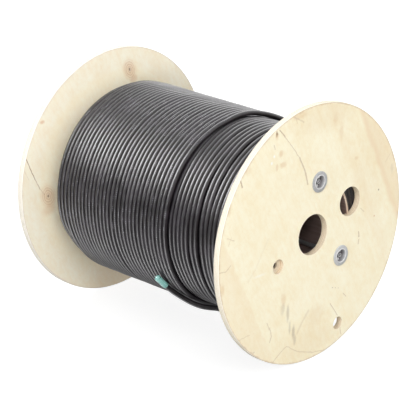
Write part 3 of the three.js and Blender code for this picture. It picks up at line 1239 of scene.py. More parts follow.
@dataclass
class EndCap:
    """The soft cap on the loose end: a sleeve with a blunt, slightly pinched nose."""

    finish: CapPlastic
    radius: float = 4.5 * MM
    length: float = 19.0 * MM
    sleeve: float = 2.0 * MM
    mouth_radius: float = 3.62 * MM
    waist: float = 0.15 * MM
    pinch: float = 0.06
    flattening: float = 0.3
    steps: int = 48
    nose_steps: int = 8

    def outline(self) -> list[Pair]:
        """Return the cap's outline from the socket's floor to the tip of its nose.

        Returns:
            The outline.
        """
        lip = 0.3 * MM
        socket_floor = 0.25 * MM
        nose_centre = self.length - self.radius
        body = [(self.radius - self.waist * depth, x * MM) for depth, x in ((1.0, 3.5), (1.3, 8), (0.4, 13))]
        return [
            (0.0, socket_floor), (self.mouth_radius, socket_floor), (self.mouth_radius, -self.sleeve + lip),
            (self.mouth_radius + lip, -self.sleeve), (self.radius - lip, -self.sleeve),
            (self.radius, -self.sleeve + lip), *body,
            *arc((0.0, nose_centre), self.radius, 0, 90, self.nose_steps),
        ]

    def build(self, end: Vector, direction: Vector) -> Piece:
        """Make the cap.

        Args:
            end: Where the cable's centre line ends.
            direction: The way it points there.

        Returns:
            The cap.
        """
        shape = spun(self.outline(), self.steps, closed=False)
        for vertex in shape.verts:
            towards_nose = smoothstep(0.0, self.length, vertex.co.x)
            vertex.co.y *= 1 - self.pinch * towards_nose
            vertex.co.z *= 1 - self.pinch * self.flattening * towards_nose
        turn = direction.to_track_quat("X", "Z").to_matrix().to_4x4()
        bmesh.ops.transform(shape, matrix=Matrix.Translation(end) @ turn, verts=shape.verts)
        piece = mesh_object("cable_end_cap", shape, [self.finish.build()], sharp_degrees=60)
        return add_piece(piece, "cap_plastic", "end_cap")


@dataclass(frozen=True)
class Stray:
    """A slow, smooth straying of the cable from its even line: how far, its seed and its rate."""

    reach: float
    seed: float
    rate: float
    fullness: float = 1.8
    seed_slope: float = 0.37

    def at(self, turn: float) -> float:
        """Return how far the cable strays at a turn."""
        place = Vector((turn * self.rate, self.seed, self.seed_slope * self.seed))
        return self.reach * (noise.noise(place) * self.fullness)


@dataclass
class Winding:
    """The wound cable: the two layers that show, the steps at the ends and a core below."""

    cable: Cable
    drum: DrumFrame
    jacket: CableJacket
    printed: CableJacket
    steps_per_turn: int = 120
    bevel_steps: int = 4
    squeeze: float = 0.03 * MM
    outer_turns: int = 30
    far_edge: float = -156.0 * MM
    # The line that the outer layer's turns are counted from, as (degrees, X in millimetres). It strays
    # to both sides of the far edge, which the core and the stepped turns keep to.
    start_line: Steps = (
        (100, -155.2), (115, -156.2), (135, -157.8), (180, -158.1), (230, -157.0), (300, -156.0),
        (460, -155.2),
    )
    open_turns: int = 17
    open_edge: float = 57.0 * MM
    leave_angle: float = 100.0
    face_gap: float = 0.3 * MM
    end_step: float = 6.0 * MM
    # Where the outer layer's edge lies at angles round the drum, as (degrees, X in millimetres).
    edge_line: Steps = (
        (100, 60.5), (110, 59.0), (125, 56.2), (140, 54.6), (160, 54.3), (180, 54.2), (200, 54.6),
        (230, 55.0), (270, 54.5), (310, 54.0), (380, 53.0), (460, 53.4),
    )

    # How far the open turns lie back from an even spacing, in millimetres by degrees, for the
    # turns up to each slack place, and the turns over which one list passes into the next.
    open_lag: tuple[Steps, ...] = (
        ((90, 6.5), (100, 7.0), (110, 6.0), (125, 5.0), (140, 4.5), (165, 4.0), (190, 3.8), (205, 2.3),
         (225, 3.6), (270, 4.0), (360, 5.0), (450, 6.5)),
        ((90, 5.0), (110, 4.5), (125, 4.2), (140, 4.9), (150, 4.7), (165, 3.2), (180, 2.0), (200, 0.3),
         (210, 0.3), (225, 2.0), (270, 3.0), (360, 4.0), (450, 5.0)),
        ((90, 4.0), (110, 4.3), (125, 3.0), (140, 2.4), (150, 1.4), (165, -0.2), (180, -2.4), (190, -3.5),
         (215, -3.6), (270, -1.5), (360, 1.0), (450, 4.0)),
        ((90, 2.0), (125, 0.5), (150, 0.0), (190, -2.0), (270, -0.5), (450, 2.0)),
        ((90, 0.0), (450, 0.0)),
    )
    lag_changes: Steps = ((4.0, 4.6), (6.0, 6.6), (8.0, 8.6), (10.0, 15.0))
    # The turns over which the outer layer climbs from the one below at the far end.
    climb: Pair = (0.62, 0.77)
    # The first turns of both layers have sunk towards the far flange's gap: shares by degrees, how
    # deep, how far back along X, and the turns over which the sinking fades.
    sink_line: Steps = (
        (0, 0), (55, 0), (75, 0.3), (90, 0.45), (105, 0.3), (125, 0.1), (140, 0), (196, 0), (203, 0.3),
        (211, 0.8), (218, 1), (226, 1), (234, 0.8), (243, 0.3), (252, 0), (360, 0),
    )
    sink_depth: float = 5.0 * MM
    sink_draw: float = 5.0 * MM
    sink_fade: Pair = (1.4, 2.8)
    # Outer turns past the slack turn are pushed back by the drawn-back reach, and all of them lie
    # slack, most between the slack degrees.
    slack_turn: float = 15.6
    drawn_back: float = 1.8 * MM
    even_slack: float = 0.4 * MM
    most_slack: float = 2.4 * MM
    slack_degrees: tuple[float, float, float, float] = (182.0, 212.0, 240.0, 300.0)
    slack_close: float = 0.4
    slack_build_up: float = 13.0
    settle_turns: float = 0.3
    departure_steps: int = 10
    buried_turns: int = 4
    stepped_turns: int = 4
    inner_turns: int = 3
    outer_strays: tuple[Stray, Stray] = (Stray(0.26 * MM, 1.0, 2.3), Stray(0.14 * MM, 5.0, 3.1))
    open_strays: tuple[Stray, Stray] = (Stray(0.2 * MM, 9.0, 2.7), Stray(0.12 * MM, 14.0, 2.9))

    def edge_at(self, degrees: float) -> float:
        """Return the X of the outer layer's edge for an angle from 100 to 460 degrees."""
        return between(self.edge_line, degrees) * MM

    def outer_route(self, start: Vector, heading: Vector) -> list[Vector]:
        """Return the outer layer's centre line, from the far edge to where the loose end starts.

        Args:
            start: The first point of the loose end.
            heading: Its direction there.

        Returns:
            The points in order.
        """
        low, high = (self.cable.layer_radius(self.cable.layers - below) for below in (1, 0))
        foot = self.stepped_turn_x(1)
        first, last = round(self.climb[0] * self.steps_per_turn), self.outer_turns * self.steps_per_turn
        sideways, outwards = self.outer_strays
        route = []
        for step in range(first, last + 1):
            turn = step / self.steps_per_turn
            degrees = self.leave_angle + 360 * (self.outer_turns - turn)
            round_angle = self.leave_angle + (degrees - self.leave_angle) % 360
            if step == last:
                round_angle = self.leave_angle
            last_turn = self.outer_turns - (round_angle - self.leave_angle) / 360
            begun = between(self.start_line, round_angle) * MM
            pitch = (self.edge_at(round_angle) - self.cable.radius - begun) / last_turn
            x = self.edge_at(round_angle) - self.cable.radius - pitch * (last_turn - turn)
            x += self.gap_shift(turn, round_angle)
            settle = smoothstep(0, self.settle_turns, self.outer_turns - turn)
            x += settle * sideways.at(turn)
            lift = settle * outwards.at(turn)
            climbed = smoothstep(*self.climb, turn)
            lift -= self.sink_depth * self.sunk(degrees) * (1 - smoothstep(*self.sink_fade, turn)) * climbed
            route.append(self.drum.on_circle(low + (high - low) * climbed + lift, degrees,
                                             foot + (x - foot) * climbed))
        return route + self.departure(route, start, heading)

    def sunk(self, degrees: float) -> float:
        """Return how far the end turns have sunk at an angle, from 0 to 1."""
        return between(self.sink_line, degrees % 360)

    def gap_shift(self, turn: float, degrees: float) -> float:
        """Return how far the outer turns lie back from an even spacing, at a turn and an angle.

        Args:
            turn: Turns from the far edge.
            degrees: The angle, from 100 to 460.

        Returns:
            The shift along X.
        """
        left, to_share = self.outer_turns - 1 - turn, self.outer_turns - 1 - self.slack_turn
        start, full, fade, end = self.slack_degrees
        around = smoothstep(start, full, degrees) * (1 - smoothstep(fade, end, degrees))
        slack = self.even_slack + self.most_slack * around
        if turn > self.slack_turn:
            slack *= 1 - smoothstep(self.slack_turn, self.slack_turn + self.slack_close, turn)
            return -max(0.0, self.drawn_back * left / to_share) - slack
        return -(self.drawn_back + slack) * smoothstep(0, self.slack_build_up, turn)

    def departure(self, route: list[Vector], start: Vector, heading: Vector) -> list[Vector]:
        """Return the points by which the last turn leaves the layer's edge for the loose end.

        Args:
            route: The layer's centre line.
            start: The first point of the loose end.
            heading: Its direction there.

        Returns:
            The points.
        """
        end = route[-1]
        leave = (route[-1] - route[-2]).normalized()
        span = (start - end).length
        return [eased(end, leave * span, start, heading * span, step / self.departure_steps)
                for step in range(1, self.departure_steps + 1)]

    def open_route(self) -> list[Vector]:
        """Return the centre line of the layer below, from under the step to the lead-out flange.

        Returns:
            The points in order.
        """
        radius = self.cable.layer_radius(self.cable.layers - 1)
        last = self.drum.inner_face - self.face_gap
        pitch = (last - self.open_edge) / self.open_turns
        sideways, outwards = self.open_strays
        route = []
        for step in range((self.open_turns + self.buried_turns) * self.steps_per_turn + 1):
            turn = step / self.steps_per_turn - self.buried_turns
            degrees = 90 - 360 * turn
            x = self.open_edge + pitch * (turn + 0.5) - self.lag(turn, 90 + (degrees - 90) % 360)
            x = min(x + sideways.at(turn), last - self.cable.radius)
            route.append(self.drum.on_circle(radius + outwards.at(turn), degrees, x))
        return route

    def lag(self, turn: float, degrees: float) -> float:
        """Return how far an open turn lies back, at an angle from 90 to 450 degrees.

        Args:
            turn: Turns from the step.
            degrees: The angle.

        Returns:
            The lag along X.
        """
        found = between(self.open_lag[0], degrees)
        for points, (start, end) in zip(self.open_lag[1:], self.lag_changes):
            found += (between(points, degrees) - found) * smoothstep(start, end, turn)
        return found * MM

    def stepped_turn_x(self, below: int) -> float:
        """Return where the end turn lies of the layer that is so many below the outer one."""
        wall = -self.drum.inner_face + self.face_gap + self.cable.radius
        return max(self.far_edge - below * self.end_step + self.cable.radius, wall)

    def ring_route(self, layer: int, x: float) -> list[Vector]:
        """Return the centre line of one turn of a layer at a place along X.

        Args:
            layer: The layer, counted from the barrel.
            x: The place.

        Returns:
            The points, the last on the first.
        """
        stray = Stray(0.1 * MM, layer * 2.0, 3.0)
        sinks = x < 0 and layer == self.cable.layers - 1
        route = []
        for step in range(self.steps_per_turn + 1):
            turn = step / self.steps_per_turn
            degrees = -360 * turn
            drawn = self.sink_draw * self.sunk(degrees) if sinks else 0.0
            radius = self.cable.layer_radius(layer) + stray.at(turn)
            route.append(self.drum.on_circle(radius, degrees, x + drawn))
        return route

    def tube(self, name: str, route: Sequence[Vector], material: Material) -> Piece:
        """Return a tube along a route as a mesh that knows its run.

        Args:
            name: The piece's name.
            route: Its centre line.
            material: Its jacket.

        Returns:
            The tube. Its run attribute holds metres along it and turns around it, 0 facing out.
        """
        curve = cable_curve(name + "_line", route, self.cable.radius - self.squeeze, self.bevel_steps)
        bpy.context.view_layer.update()
        mesh = finished_mesh(curve)
        drop(curve)
        mesh.name = name
        mesh.materials.clear()
        mesh.materials.append(material)
        self.write_run(mesh, route)
        return linked(name, mesh)

    def write_run(self, mesh: bpy.types.Mesh, route: Sequence[Vector]) -> None:
        """Store on each vertex how far along and how far around the cable it is.

        Args:
            mesh: The tube's mesh.
            route: Its centre line.
        """
        places = np.array([vertex.co for vertex in mesh.vertices], float)
        sides = len(places) // len(route)
        rings = places[: sides * len(route)].reshape(len(route), sides, 3)
        line = np.array([tuple(point) for point in route], float)
        steps = np.linalg.norm(np.diff(line, axis=0), axis=1)
        along = np.concatenate([[0.0], np.cumsum(steps)])
        outward = line - np.array([0.0, 0.0, self.drum.axis_height])
        outward[:, 0] = 0.0
        outward /= np.linalg.norm(outward, axis=1)[:, None]
        offset = rings - line[:, None, :]
        out = np.einsum("rsk,rk->rs", offset, outward)
        across = offset[:, :, 0]
        around = np.arctan2(across, out) / (2 * math.pi)
        run = np.zeros((len(places), 3), np.float32)
        run[:, 1] = 0.5  # the end caps count as the side that faces in
        run[: sides * len(route), 0] = np.repeat(along, sides)
        run[: sides * len(route), 1] = around.ravel()
        mesh.attributes.new("run", "FLOAT_VECTOR", "POINT").data.foreach_set("vector", run.ravel())

    def core(self, material: Material) -> Piece:
        """Return the wound bulk below the layers that show, a turned body with stepped ends.

        Args:
            material: Its jacket.

        Returns:
            The core.
        """
        stepped_layers, steps = 5, 96
        behind_turns, sunk, short_of_face, under_step = 5.0 * MM, 1.2 * MM, 4.5 * MM, 14.0 * MM
        bore = self.cable.barrel_radius + self.face_gap
        near = self.drum.inner_face - short_of_face
        below_open = self.cable.layer_radius(self.cable.layers - 2)
        below_outer = self.cable.layer_radius(self.cable.layers - 1) - sunk
        edge = self.open_edge - under_step
        outline = [(bore, -near), (bore, near), (below_open, near), (below_open, edge), (below_outer, edge)]
        for below in range(1, stepped_layers + 1):
            layer = self.cable.layers - below
            x = max(self.far_edge - below * self.end_step + behind_turns, -near)
            outline.append((self.cable.layer_radius(layer) - sunk, x))
            outline.append((self.cable.layer_radius(layer - 1) - sunk, x))
        shape = spun(outline, steps)
        bmesh.ops.translate(shape, vec=self.drum.centre, verts=shape.verts)
        return mesh_object("wound_core", shape, [material])

    def build(self, loose_end: LooseEnd) -> None:
        """Make every piece of the winding.

        Args:
            loose_end: The cord that the outer layer runs into.
        """
        tail = smooth_route(loose_end.route_points(), loose_end.points_per_span)
        heading = (tail[1] - tail[0]).normalized()
        printed, jacket = self.printed.build(), self.jacket.build()
        pieces = [
            self.tube("outer_layer", self.outer_route(tail[0], heading), printed),
            self.tube("open_layer", self.open_route(), jacket),
            self.core(jacket),
        ]
        for below in range(1, self.stepped_turns + 1):
            route = self.ring_route(self.cable.layers - below, self.stepped_turn_x(below))
            pieces.append(self.tube(f"stepped_turn_{below}", route, jacket))
        near = self.drum.inner_face - self.face_gap - self.cable.radius
        for layer in range(1, self.inner_turns + 1):
            pieces.append(self.tube(f"inner_turn_{layer}", self.ring_route(layer, near), jacket))
        for piece in pieces:
            add_piece(piece, "cable_jacket", "cable_winding")


# ---------------- woodwork


class FlangeSlot(Enum):
    """The material slots of a flange."""

    OUTER_FACE = 0
    INNER_FACE = 1
    RIM = 2
    HOLE_WALL = 3


@dataclass(frozen=True)
class Hole:
    """A drilled hole of a flange: its place about the axis, radius and counterbore."""

    at_radius: float
    degrees: float
    radius: float
    counterbore: float = 0.0


@dataclass
class Flange:
    """One plywood end disc, with its spindle bore, rod holes and barrel groove."""

    drum: DrumFrame
    side: Side
    face: PlyFace
    inner_face: PlyFace
    edge: PlyEdge
    hole_wall: PlyEdge
    bore_radius: float = 27.5 * MM
    edge_round: float = 0.8 * MM
    hole_round: float = 0.35 * MM
    rim_steps: int = 256
    bore_steps: int = 96
    hole_steps: int = 64
    small_hole_steps: int = 32
    small_hole: float = 5 * MM
    groove_steps: int = 128
    groove_depth: float = 2.6 * MM
    groove_width: Pair = (75.0 * MM, 78.9 * MM)
    counterbore_depth: float = 5.4 * MM
    rod_holes: tuple[Hole, ...] = (
        Hole(70.6 * MM, 81.4, 3.8 * MM, 9.8 * MM),
        Hole(70.6 * MM, 321.4, 3.8 * MM, 9.8 * MM),
        Hole(70.6 * MM, 201.4, 3.8 * MM, 9.8 * MM),
    )
    cable_holes: tuple[Hole, ...] = ()
    # Edges that turn more than this, in radians, get broken.
    sharp_turn: float = 1.0
    # What tells a flat face from a wall: its normal's share along X, in the holes and at the rim.
    flat_in_holes: float = 0.7
    flat_at_rim: float = 0.99
    flat_shaded: float = 0.999
    sharp_degrees: float = 30.0
    rim_band: float = 3 * MM
    sunk_by: float = 2 * MM

    def cutters(self) -> list[Piece]:
        """Return the solids that the holes and the groove take away.

        Returns:
            The cutters.
        """
        sign = self.side.value
        inner, outer = sign * self.drum.inner_face, sign * self.drum.outer_face
        past = 2 * MM * sign
        found = [cylinder(self.bore_radius, inner - past, outer + past, self.drum.centre, self.bore_steps)]
        for hole in (*self.rod_holes, *self.cable_holes):
            centre = self.drum.on_circle(hole.at_radius, hole.degrees)
            steps = self.hole_steps if hole.radius > self.small_hole else self.small_hole_steps
            found.append(cylinder(hole.radius, inner - past, outer + past, centre, steps))
            if hole.counterbore:
                floor = outer - sign * self.counterbore_depth
                found.append(cylinder(hole.counterbore, floor, outer + past, centre, self.hole_steps))
        inside, outside = self.groove_width
        bottom = inner + sign * self.groove_depth
        groove = spun([(inside, inner - past), (outside, inner - past), (outside, bottom), (inside, bottom)],
                      self.groove_steps)
        bmesh.ops.translate(groove, vec=self.drum.centre, verts=groove.verts)
        found.append(groove)
        return [mesh_object(f"cutter_{index}", shape, []) for index, shape in enumerate(found)]

    def blank(self) -> Shape:
        """Return the plain disc with its rim rounded over.

        Returns:
            The disc.
        """
        shape = cylinder(self.drum.rim_radius, self.side.value * self.drum.inner_face,
                         self.side.value * self.drum.outer_face, self.drum.centre, self.rim_steps)
        bmesh.ops.rotate(shape, cent=self.drum.centre, verts=shape.verts,
                         matrix=Matrix.Rotation(math.pi / self.rim_steps, 3, "X"))
        rims = [edge for edge in shape.edges if edge.is_manifold and edge.calc_face_angle() > self.sharp_turn]
        soften(shape, rims, self.edge_round, segments=3)
        bmesh.ops.recalc_face_normals(shape, faces=shape.faces)
        return shape

    def round_holes(self, body: Piece) -> None:
        """Break the sharp edges that drilling left on the outer and inner faces.

        Args:
            body: The drilled disc.
        """
        shape = bmesh.new()
        shape.from_mesh(body.data)
        bmesh.ops.remove_doubles(shape, verts=shape.verts, dist=1e-6)
        inner, outer = self.drum.inner_face, self.drum.outer_face
        edges = []
        for edge in shape.edges:
            on_face = all(min(abs(abs(vertex.co.x) - inner), abs(abs(vertex.co.x) - outer)) < 1e-5
                          for vertex in edge.verts)
            if on_face and edge.is_manifold and edge.calc_face_angle() > self.sharp_turn:
                edges.append(edge)
        soften(shape, edges, self.hole_round, segments=2)
        self.assign(shape)
        shape.to_mesh(body.data)
        shape.free()

    def assign(self, shape: Shape) -> None:
        """Give faces their slots: roundings go with the rim, counterbores' floors with the walls.

        Args:
            shape: The finished disc.
        """
        for face in shape.faces:
            outward = face.normal.x * self.side.value
            from_axis = face.calc_center_median() - self.drum.centre
            sunk = self.drum.outer_face - abs(from_axis.x) > self.sunk_by
            in_holes = math.hypot(from_axis.y, from_axis.z) < self.drum.rim_radius - self.rim_band
            flat = self.flat_in_holes if in_holes else self.flat_at_rim
            slot = FlangeSlot.HOLE_WALL if in_holes else FlangeSlot.RIM
            if outward > flat and not sunk:
                slot = FlangeSlot.OUTER_FACE
            elif outward < -flat:
                slot = FlangeSlot.INNER_FACE
            face.material_index = slot.value

    def build(self, groups: Groups) -> Piece:
        """Make the flange.

        Args:
            groups: The shared shader groups.

        Returns:
            The flange.
        """
        name = f"{self.side.name.lower()}_flange_disc"
        materials = [self.face.build(groups, self.drum.axis_height),
                     self.inner_face.build(groups, self.drum.axis_height),
                     self.edge.build(self.drum), self.hole_wall.build(self.drum)]
        body = mesh_object(name, self.blank(), [])
        cut(body, self.cutters())
        body.data.materials.clear()
        for material in materials:
            body.data.materials.append(material)
        self.round_holes(body)
        body.data.polygons.foreach_set("use_smooth", [True] * len(body.data.polygons))
        body.data.set_sharp_from_angle(angle=math.radians(self.sharp_degrees))
        for polygon in body.data.polygons:
            if abs(polygon.normal.x) > self.flat_shaded:
                polygon.use_smooth = False
        return add_piece(body, "plywood", f"flange_{self.side.name.lower()}_side")


@dataclass
class Barrel:
    """The thin bent-ply tube between the flanges."""

    drum: DrumFrame
    finish: BarrelPly
    lit_end_finish: BarrelPly
    wall: float = 3.2 * MM
    edge_break: float = 0.3 * MM
    steps: int = 128

    def build(self) -> Piece:
        """Make the barrel, with its grooved-in ends in a paler copy of its finish that paints light on them.

        Returns:
            The barrel.
        """
        outside, end = self.drum.barrel_radius, self.drum.barrel_end
        inside, soft = outside - self.wall, self.edge_break
        shape = spun([
            (inside, -end + soft), (inside + soft, -end), (outside - soft, -end), (outside, -end + soft),
            (outside, end - soft), (outside - soft, end), (inside + soft, end), (inside, end - soft),
        ], self.steps)
        bmesh.ops.translate(shape, vec=self.drum.centre, verts=shape.verts)
        for face in shape.faces:
            face.material_index = 1 if abs(face.normal.x) > 0.5 else 0
        materials = [self.finish.build(), self.lit_end_finish.build()]
        return add_piece(mesh_object("bent_ply_barrel", shape, materials), "barrel_ply", "barrel")


# ---------------- hardware


@dataclass
class TieRod:
    """A threaded rod with rolled, dimpled ends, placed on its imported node."""

    node: str
    radius: float = 3.5 * MM
    thread_depth: float = 0.35 * MM
    thread_length: float = 16.0 * MM
    thread_pitch: float = 1.25 * MM
    dimple_radius: float = 1.7 * MM
    dimple_depth: float = 1.2 * MM
    end_round: float = 0.6 * MM
    proud: float = 1.2 * MM
    steps: int = 32
    # Wear over the end by millimetres from the rod's middle, and on the shank, and how far from the
    # end the one gives way to the other.
    end_wear: Steps = ((0.3, -0.6), (1.0, 0.8), (1.7, 0.7), (2.0, -0.4), (2.9, -0.1), (3.2, 0.8))
    shank_wear: float = 0.35
    end_reach: Pair = (1.5 * MM, 4 * MM)

    def half_outline(self, end: float) -> list[Pair]:
        """Return the outline from the middle of the rod to the bottom of its end's dimple.

        Args:
            end: Where the rod ends.

        Returns:
            The outline.
        """
        root = self.radius - self.thread_depth
        x = end - self.thread_length
        outline = [(root, 0.0), (root, x)]
        while x < end - self.end_round - self.thread_pitch:
            outline.append((self.radius, x + self.thread_pitch / 2))
            x += self.thread_pitch
            outline.append((root, x))
        lip = self.radius - self.end_round
        outline += [(root, end - self.end_round), (lip, end - 0.05 * MM)]
        outline += [(self.dimple_radius + 0.3 * MM, end), (self.dimple_radius, end - 0.2 * MM)]
        outline += [(self.dimple_radius * 0.6, end - self.dimple_depth * 0.8), (0.0, end - self.dimple_depth)]
        return outline

    def build(self, material: Material) -> Piece:
        """Make the rod.

        Args:
            material: Its finish.

        Returns:
            The rod.
        """
        low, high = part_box(self.node)
        middle = (low + high) / 2
        end = high.x + self.proud
        half = self.half_outline(end)
        mirrored = [(radius, -x) for radius, x in reversed(half)]
        shape = spun(mirrored[:-1] + half[1:], self.steps, closed=False)
        bmesh.ops.translate(shape, vec=(0.0, middle.y, middle.z), verts=shape.verts)
        piece = mesh_object(self.node.replace("tie_rod", "threaded_rod"), shape, [material], sharp_degrees=50)
        write_wear(piece, middle, lambda off_axis, out: self.wear_at(off_axis, end - out))
        return add_piece(piece, "zinc_steel", self.node)

    def wear_at(self, off_axis: float, from_end: float) -> float:
        """Return the wear: rings on the dimpled end, and a dull shank."""
        rings = between(self.end_wear, off_axis / MM)
        return rings + (self.shank_wear - rings) * smoothstep(*self.end_reach, from_end)


@dataclass
class CupNut:
    """A pressed cup nut: flat brim, rolled bead, tapered cup and two driving lugs."""

    node: str
    side: Side
    turn: float
    brim_wear: float
    brim_radius: float = 14.1 * MM
    gauge: float = 1.2 * MM
    bead_width: float = 1.6 * MM
    bead_height: float = 0.8 * MM
    cup_radius: float = 9.5 * MM
    taper: float = 0.5 * MM
    rod_hole: float = 3.8 * MM
    lug_width: float = 2.8 * MM
    lug_height: float = 2.4 * MM
    lug_round: float = 0.45 * MM
    lug_sunk: float = 0.3 * MM
    steps: int = 64
    # How dark the painted shade gets on the cup's floor and on its wall: the recess is darkened in its
    # colour.
    painted_floor_shade: float = 1.0
    painted_wall_shade: float = 0.6
    lug_wear: float = -0.8

    @property
    def inside(self) -> float:
        """Radius of the cup's mouth, inside its steel."""
        return self.cup_radius - self.gauge

    def outline(self, floor: float, top: float) -> list[Pair]:
        """Return the cup's outline in x from its floor's underside to the top of its bead.

        Args:
            floor: The underside of its floor.
            top: The top of its bead.

        Returns:
            The outline.
        """
        brim_top = top - self.bead_height
        brim_under = brim_top - self.gauge
        floor_top = floor + self.gauge
        foot = self.inside - self.taper
        soft, bend, edge_break = 0.35 * MM, 1.4 * MM, 0.3 * MM
        bead = arc((self.inside + self.bead_width / 2, brim_top - 0.1 * MM), self.bead_width / 2, 0, 180, 8)
        bead = [(radius, min(x, top)) for radius, x in bead]
        return [
            (self.rod_hole, floor), *arc((self.cup_radius - bend, floor + bend), bend, -90, 0, 4),
            (self.cup_radius, brim_under), (self.brim_radius - soft, brim_under),
            (self.brim_radius, brim_under + soft), (self.brim_radius, brim_top - soft),
            (self.brim_radius - soft, brim_top), *bead,
            (self.inside - 0.05 * MM, brim_top - 0.8 * MM),
            (self.inside - self.taper * 0.6, floor_top + 1.2 * MM),
            (foot - 0.5 * MM, floor_top + 0.25 * MM), (foot - 1.2 * MM, floor_top),
            (self.rod_hole + edge_break, floor_top), (self.rod_hole, floor_top - edge_break),
        ]

    def lug(self, floor_top: float, way: int) -> Shape:
        """Return one driving lug: a small block with soft corners beside the rod hole.

        Args:
            floor_top: Where the cup's floor is.
            way: 1 or -1, the side of the rod.

        Returns:
            The lug.
        """
        shape = bmesh.new()
        bmesh.ops.create_cube(shape, size=1.0)
        gap = 0.2 * MM
        length = self.inside - self.taper - self.rod_hole - 2 * gap
        bmesh.ops.scale(shape, vec=(self.lug_height, length, self.lug_width), verts=shape.verts)
        soften(shape, shape.edges[:], self.lug_round, segments=3)
        x = floor_top + self.lug_height / 2 - self.lug_sunk
        middle = self.rod_hole + gap + length / 2
        bmesh.ops.translate(shape, vec=(x, way * middle, 0.0), verts=shape.verts)
        return shape

    def build(self, material: Material) -> Piece:
        """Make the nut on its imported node.

        Args:
            material: Its finish.

        Returns:
            The nut.
        """
        low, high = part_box(self.node)
        middle = (low + high) / 2
        near, far = sorted((abs(low.x), abs(high.x)))
        shape = spun(self.outline(near, far), self.steps)
        for way in (1, -1):
            lug = self.lug(near + self.gauge, way)
            bmesh.ops.rotate(lug, cent=(0, 0, 0), matrix=Matrix.Rotation(math.radians(self.turn), 3, "X"),
                             verts=lug.verts)
            spare = bpy.data.meshes.new("lug")
            lug.to_mesh(spare)
            lug.free()
            shape.from_mesh(spare)
            bpy.data.meshes.remove(spare)
        if self.side is Side.PLAIN:
            bmesh.ops.rotate(shape, cent=(0, 0, 0), matrix=Matrix.Rotation(math.pi, 3, "Z"),
                             verts=shape.verts)
        bmesh.ops.translate(shape, vec=(0.0, middle.y, middle.z), verts=shape.verts)
        piece = mesh_object(self.node.replace("cup_nut", "pressed_nut"), shape, [material], sharp_degrees=50)
        write_wear(piece, middle, lambda off_axis, out: self.wear_at(off_axis, out, near, far))
        return add_piece(piece, "zinc_steel", self.node)

    def wear_at(self, off_axis: float, out: float, floor: float, top: float) -> float:
        """Return the wear: bright on the bead and the lugs, and painted shade deepening down in the cup.

        Args:
            off_axis: How far off the axis.
            out: How far out along X.
            floor: The underside of the floor.
            top: The top of the bead.

        Returns:
            The wear.
        """
        brim_top = top - self.bead_height
        if out > brim_top + 0.05 * MM:
            return -smoothstep(brim_top, top, out)
        if off_axis > self.inside + 0.1 * MM:
            return self.brim_wear
        if off_axis < self.inside - 0.45 * MM and out > floor + self.gauge + 0.5 * MM:
            return self.lug_wear
        # Painted shade: the cup's inside darkens in colour the deeper it lies below the brim.
        on_floor = off_axis < self.inside - self.taper - 1.0 * MM
        most = self.painted_floor_shade if on_floor else self.painted_wall_shade
        return most * smoothstep(0.3 * MM, 2.5 * MM, brim_top - out)


# ---------------- studio


@dataclass
class Lamp:
    """A soft light: where it stands from the drum, its width, height and power."""

    name: str
    direction: tuple[float, float, float]
    distance: float
    width: float
    height: float
    power: float
    shows_in_gloss: bool = True
    lights_matt: bool = True

    def build(self, target: Vector) -> Piece:
        """Make the lamp, turned to the drum.

        Args:
            target: The point that it shines on.

        Returns:
            The lamp.
        """
        data = bpy.data.lights.new(self.name, "AREA")
        data.shape = "RECTANGLE"
        data.size, data.size_y = self.width, self.height
        data.energy = self.power
        lamp = linked(self.name, data)
        lamp.visible_glossy = self.shows_in_gloss
        lamp.visible_diffuse = self.lights_matt
        towards = Vector(self.direction).normalized()
        lamp.location = target + towards * self.distance
        lamp.rotation_mode = "QUATERNION"
        lamp.rotation_quaternion = towards.to_track_quat("Z", "Y")
        return lamp


@dataclass(frozen=True)
class Fade:
    """A smooth change of what reflections show: from where to where, and from what to what."""

    start: float
    end: float
    before: float
    after: float

    def on(self, sheet: Sheet, value: Socket) -> Socket:
        """Return the level at each value."""
        return sheet.remap(value, self.start, self.end, self.before, self.after)


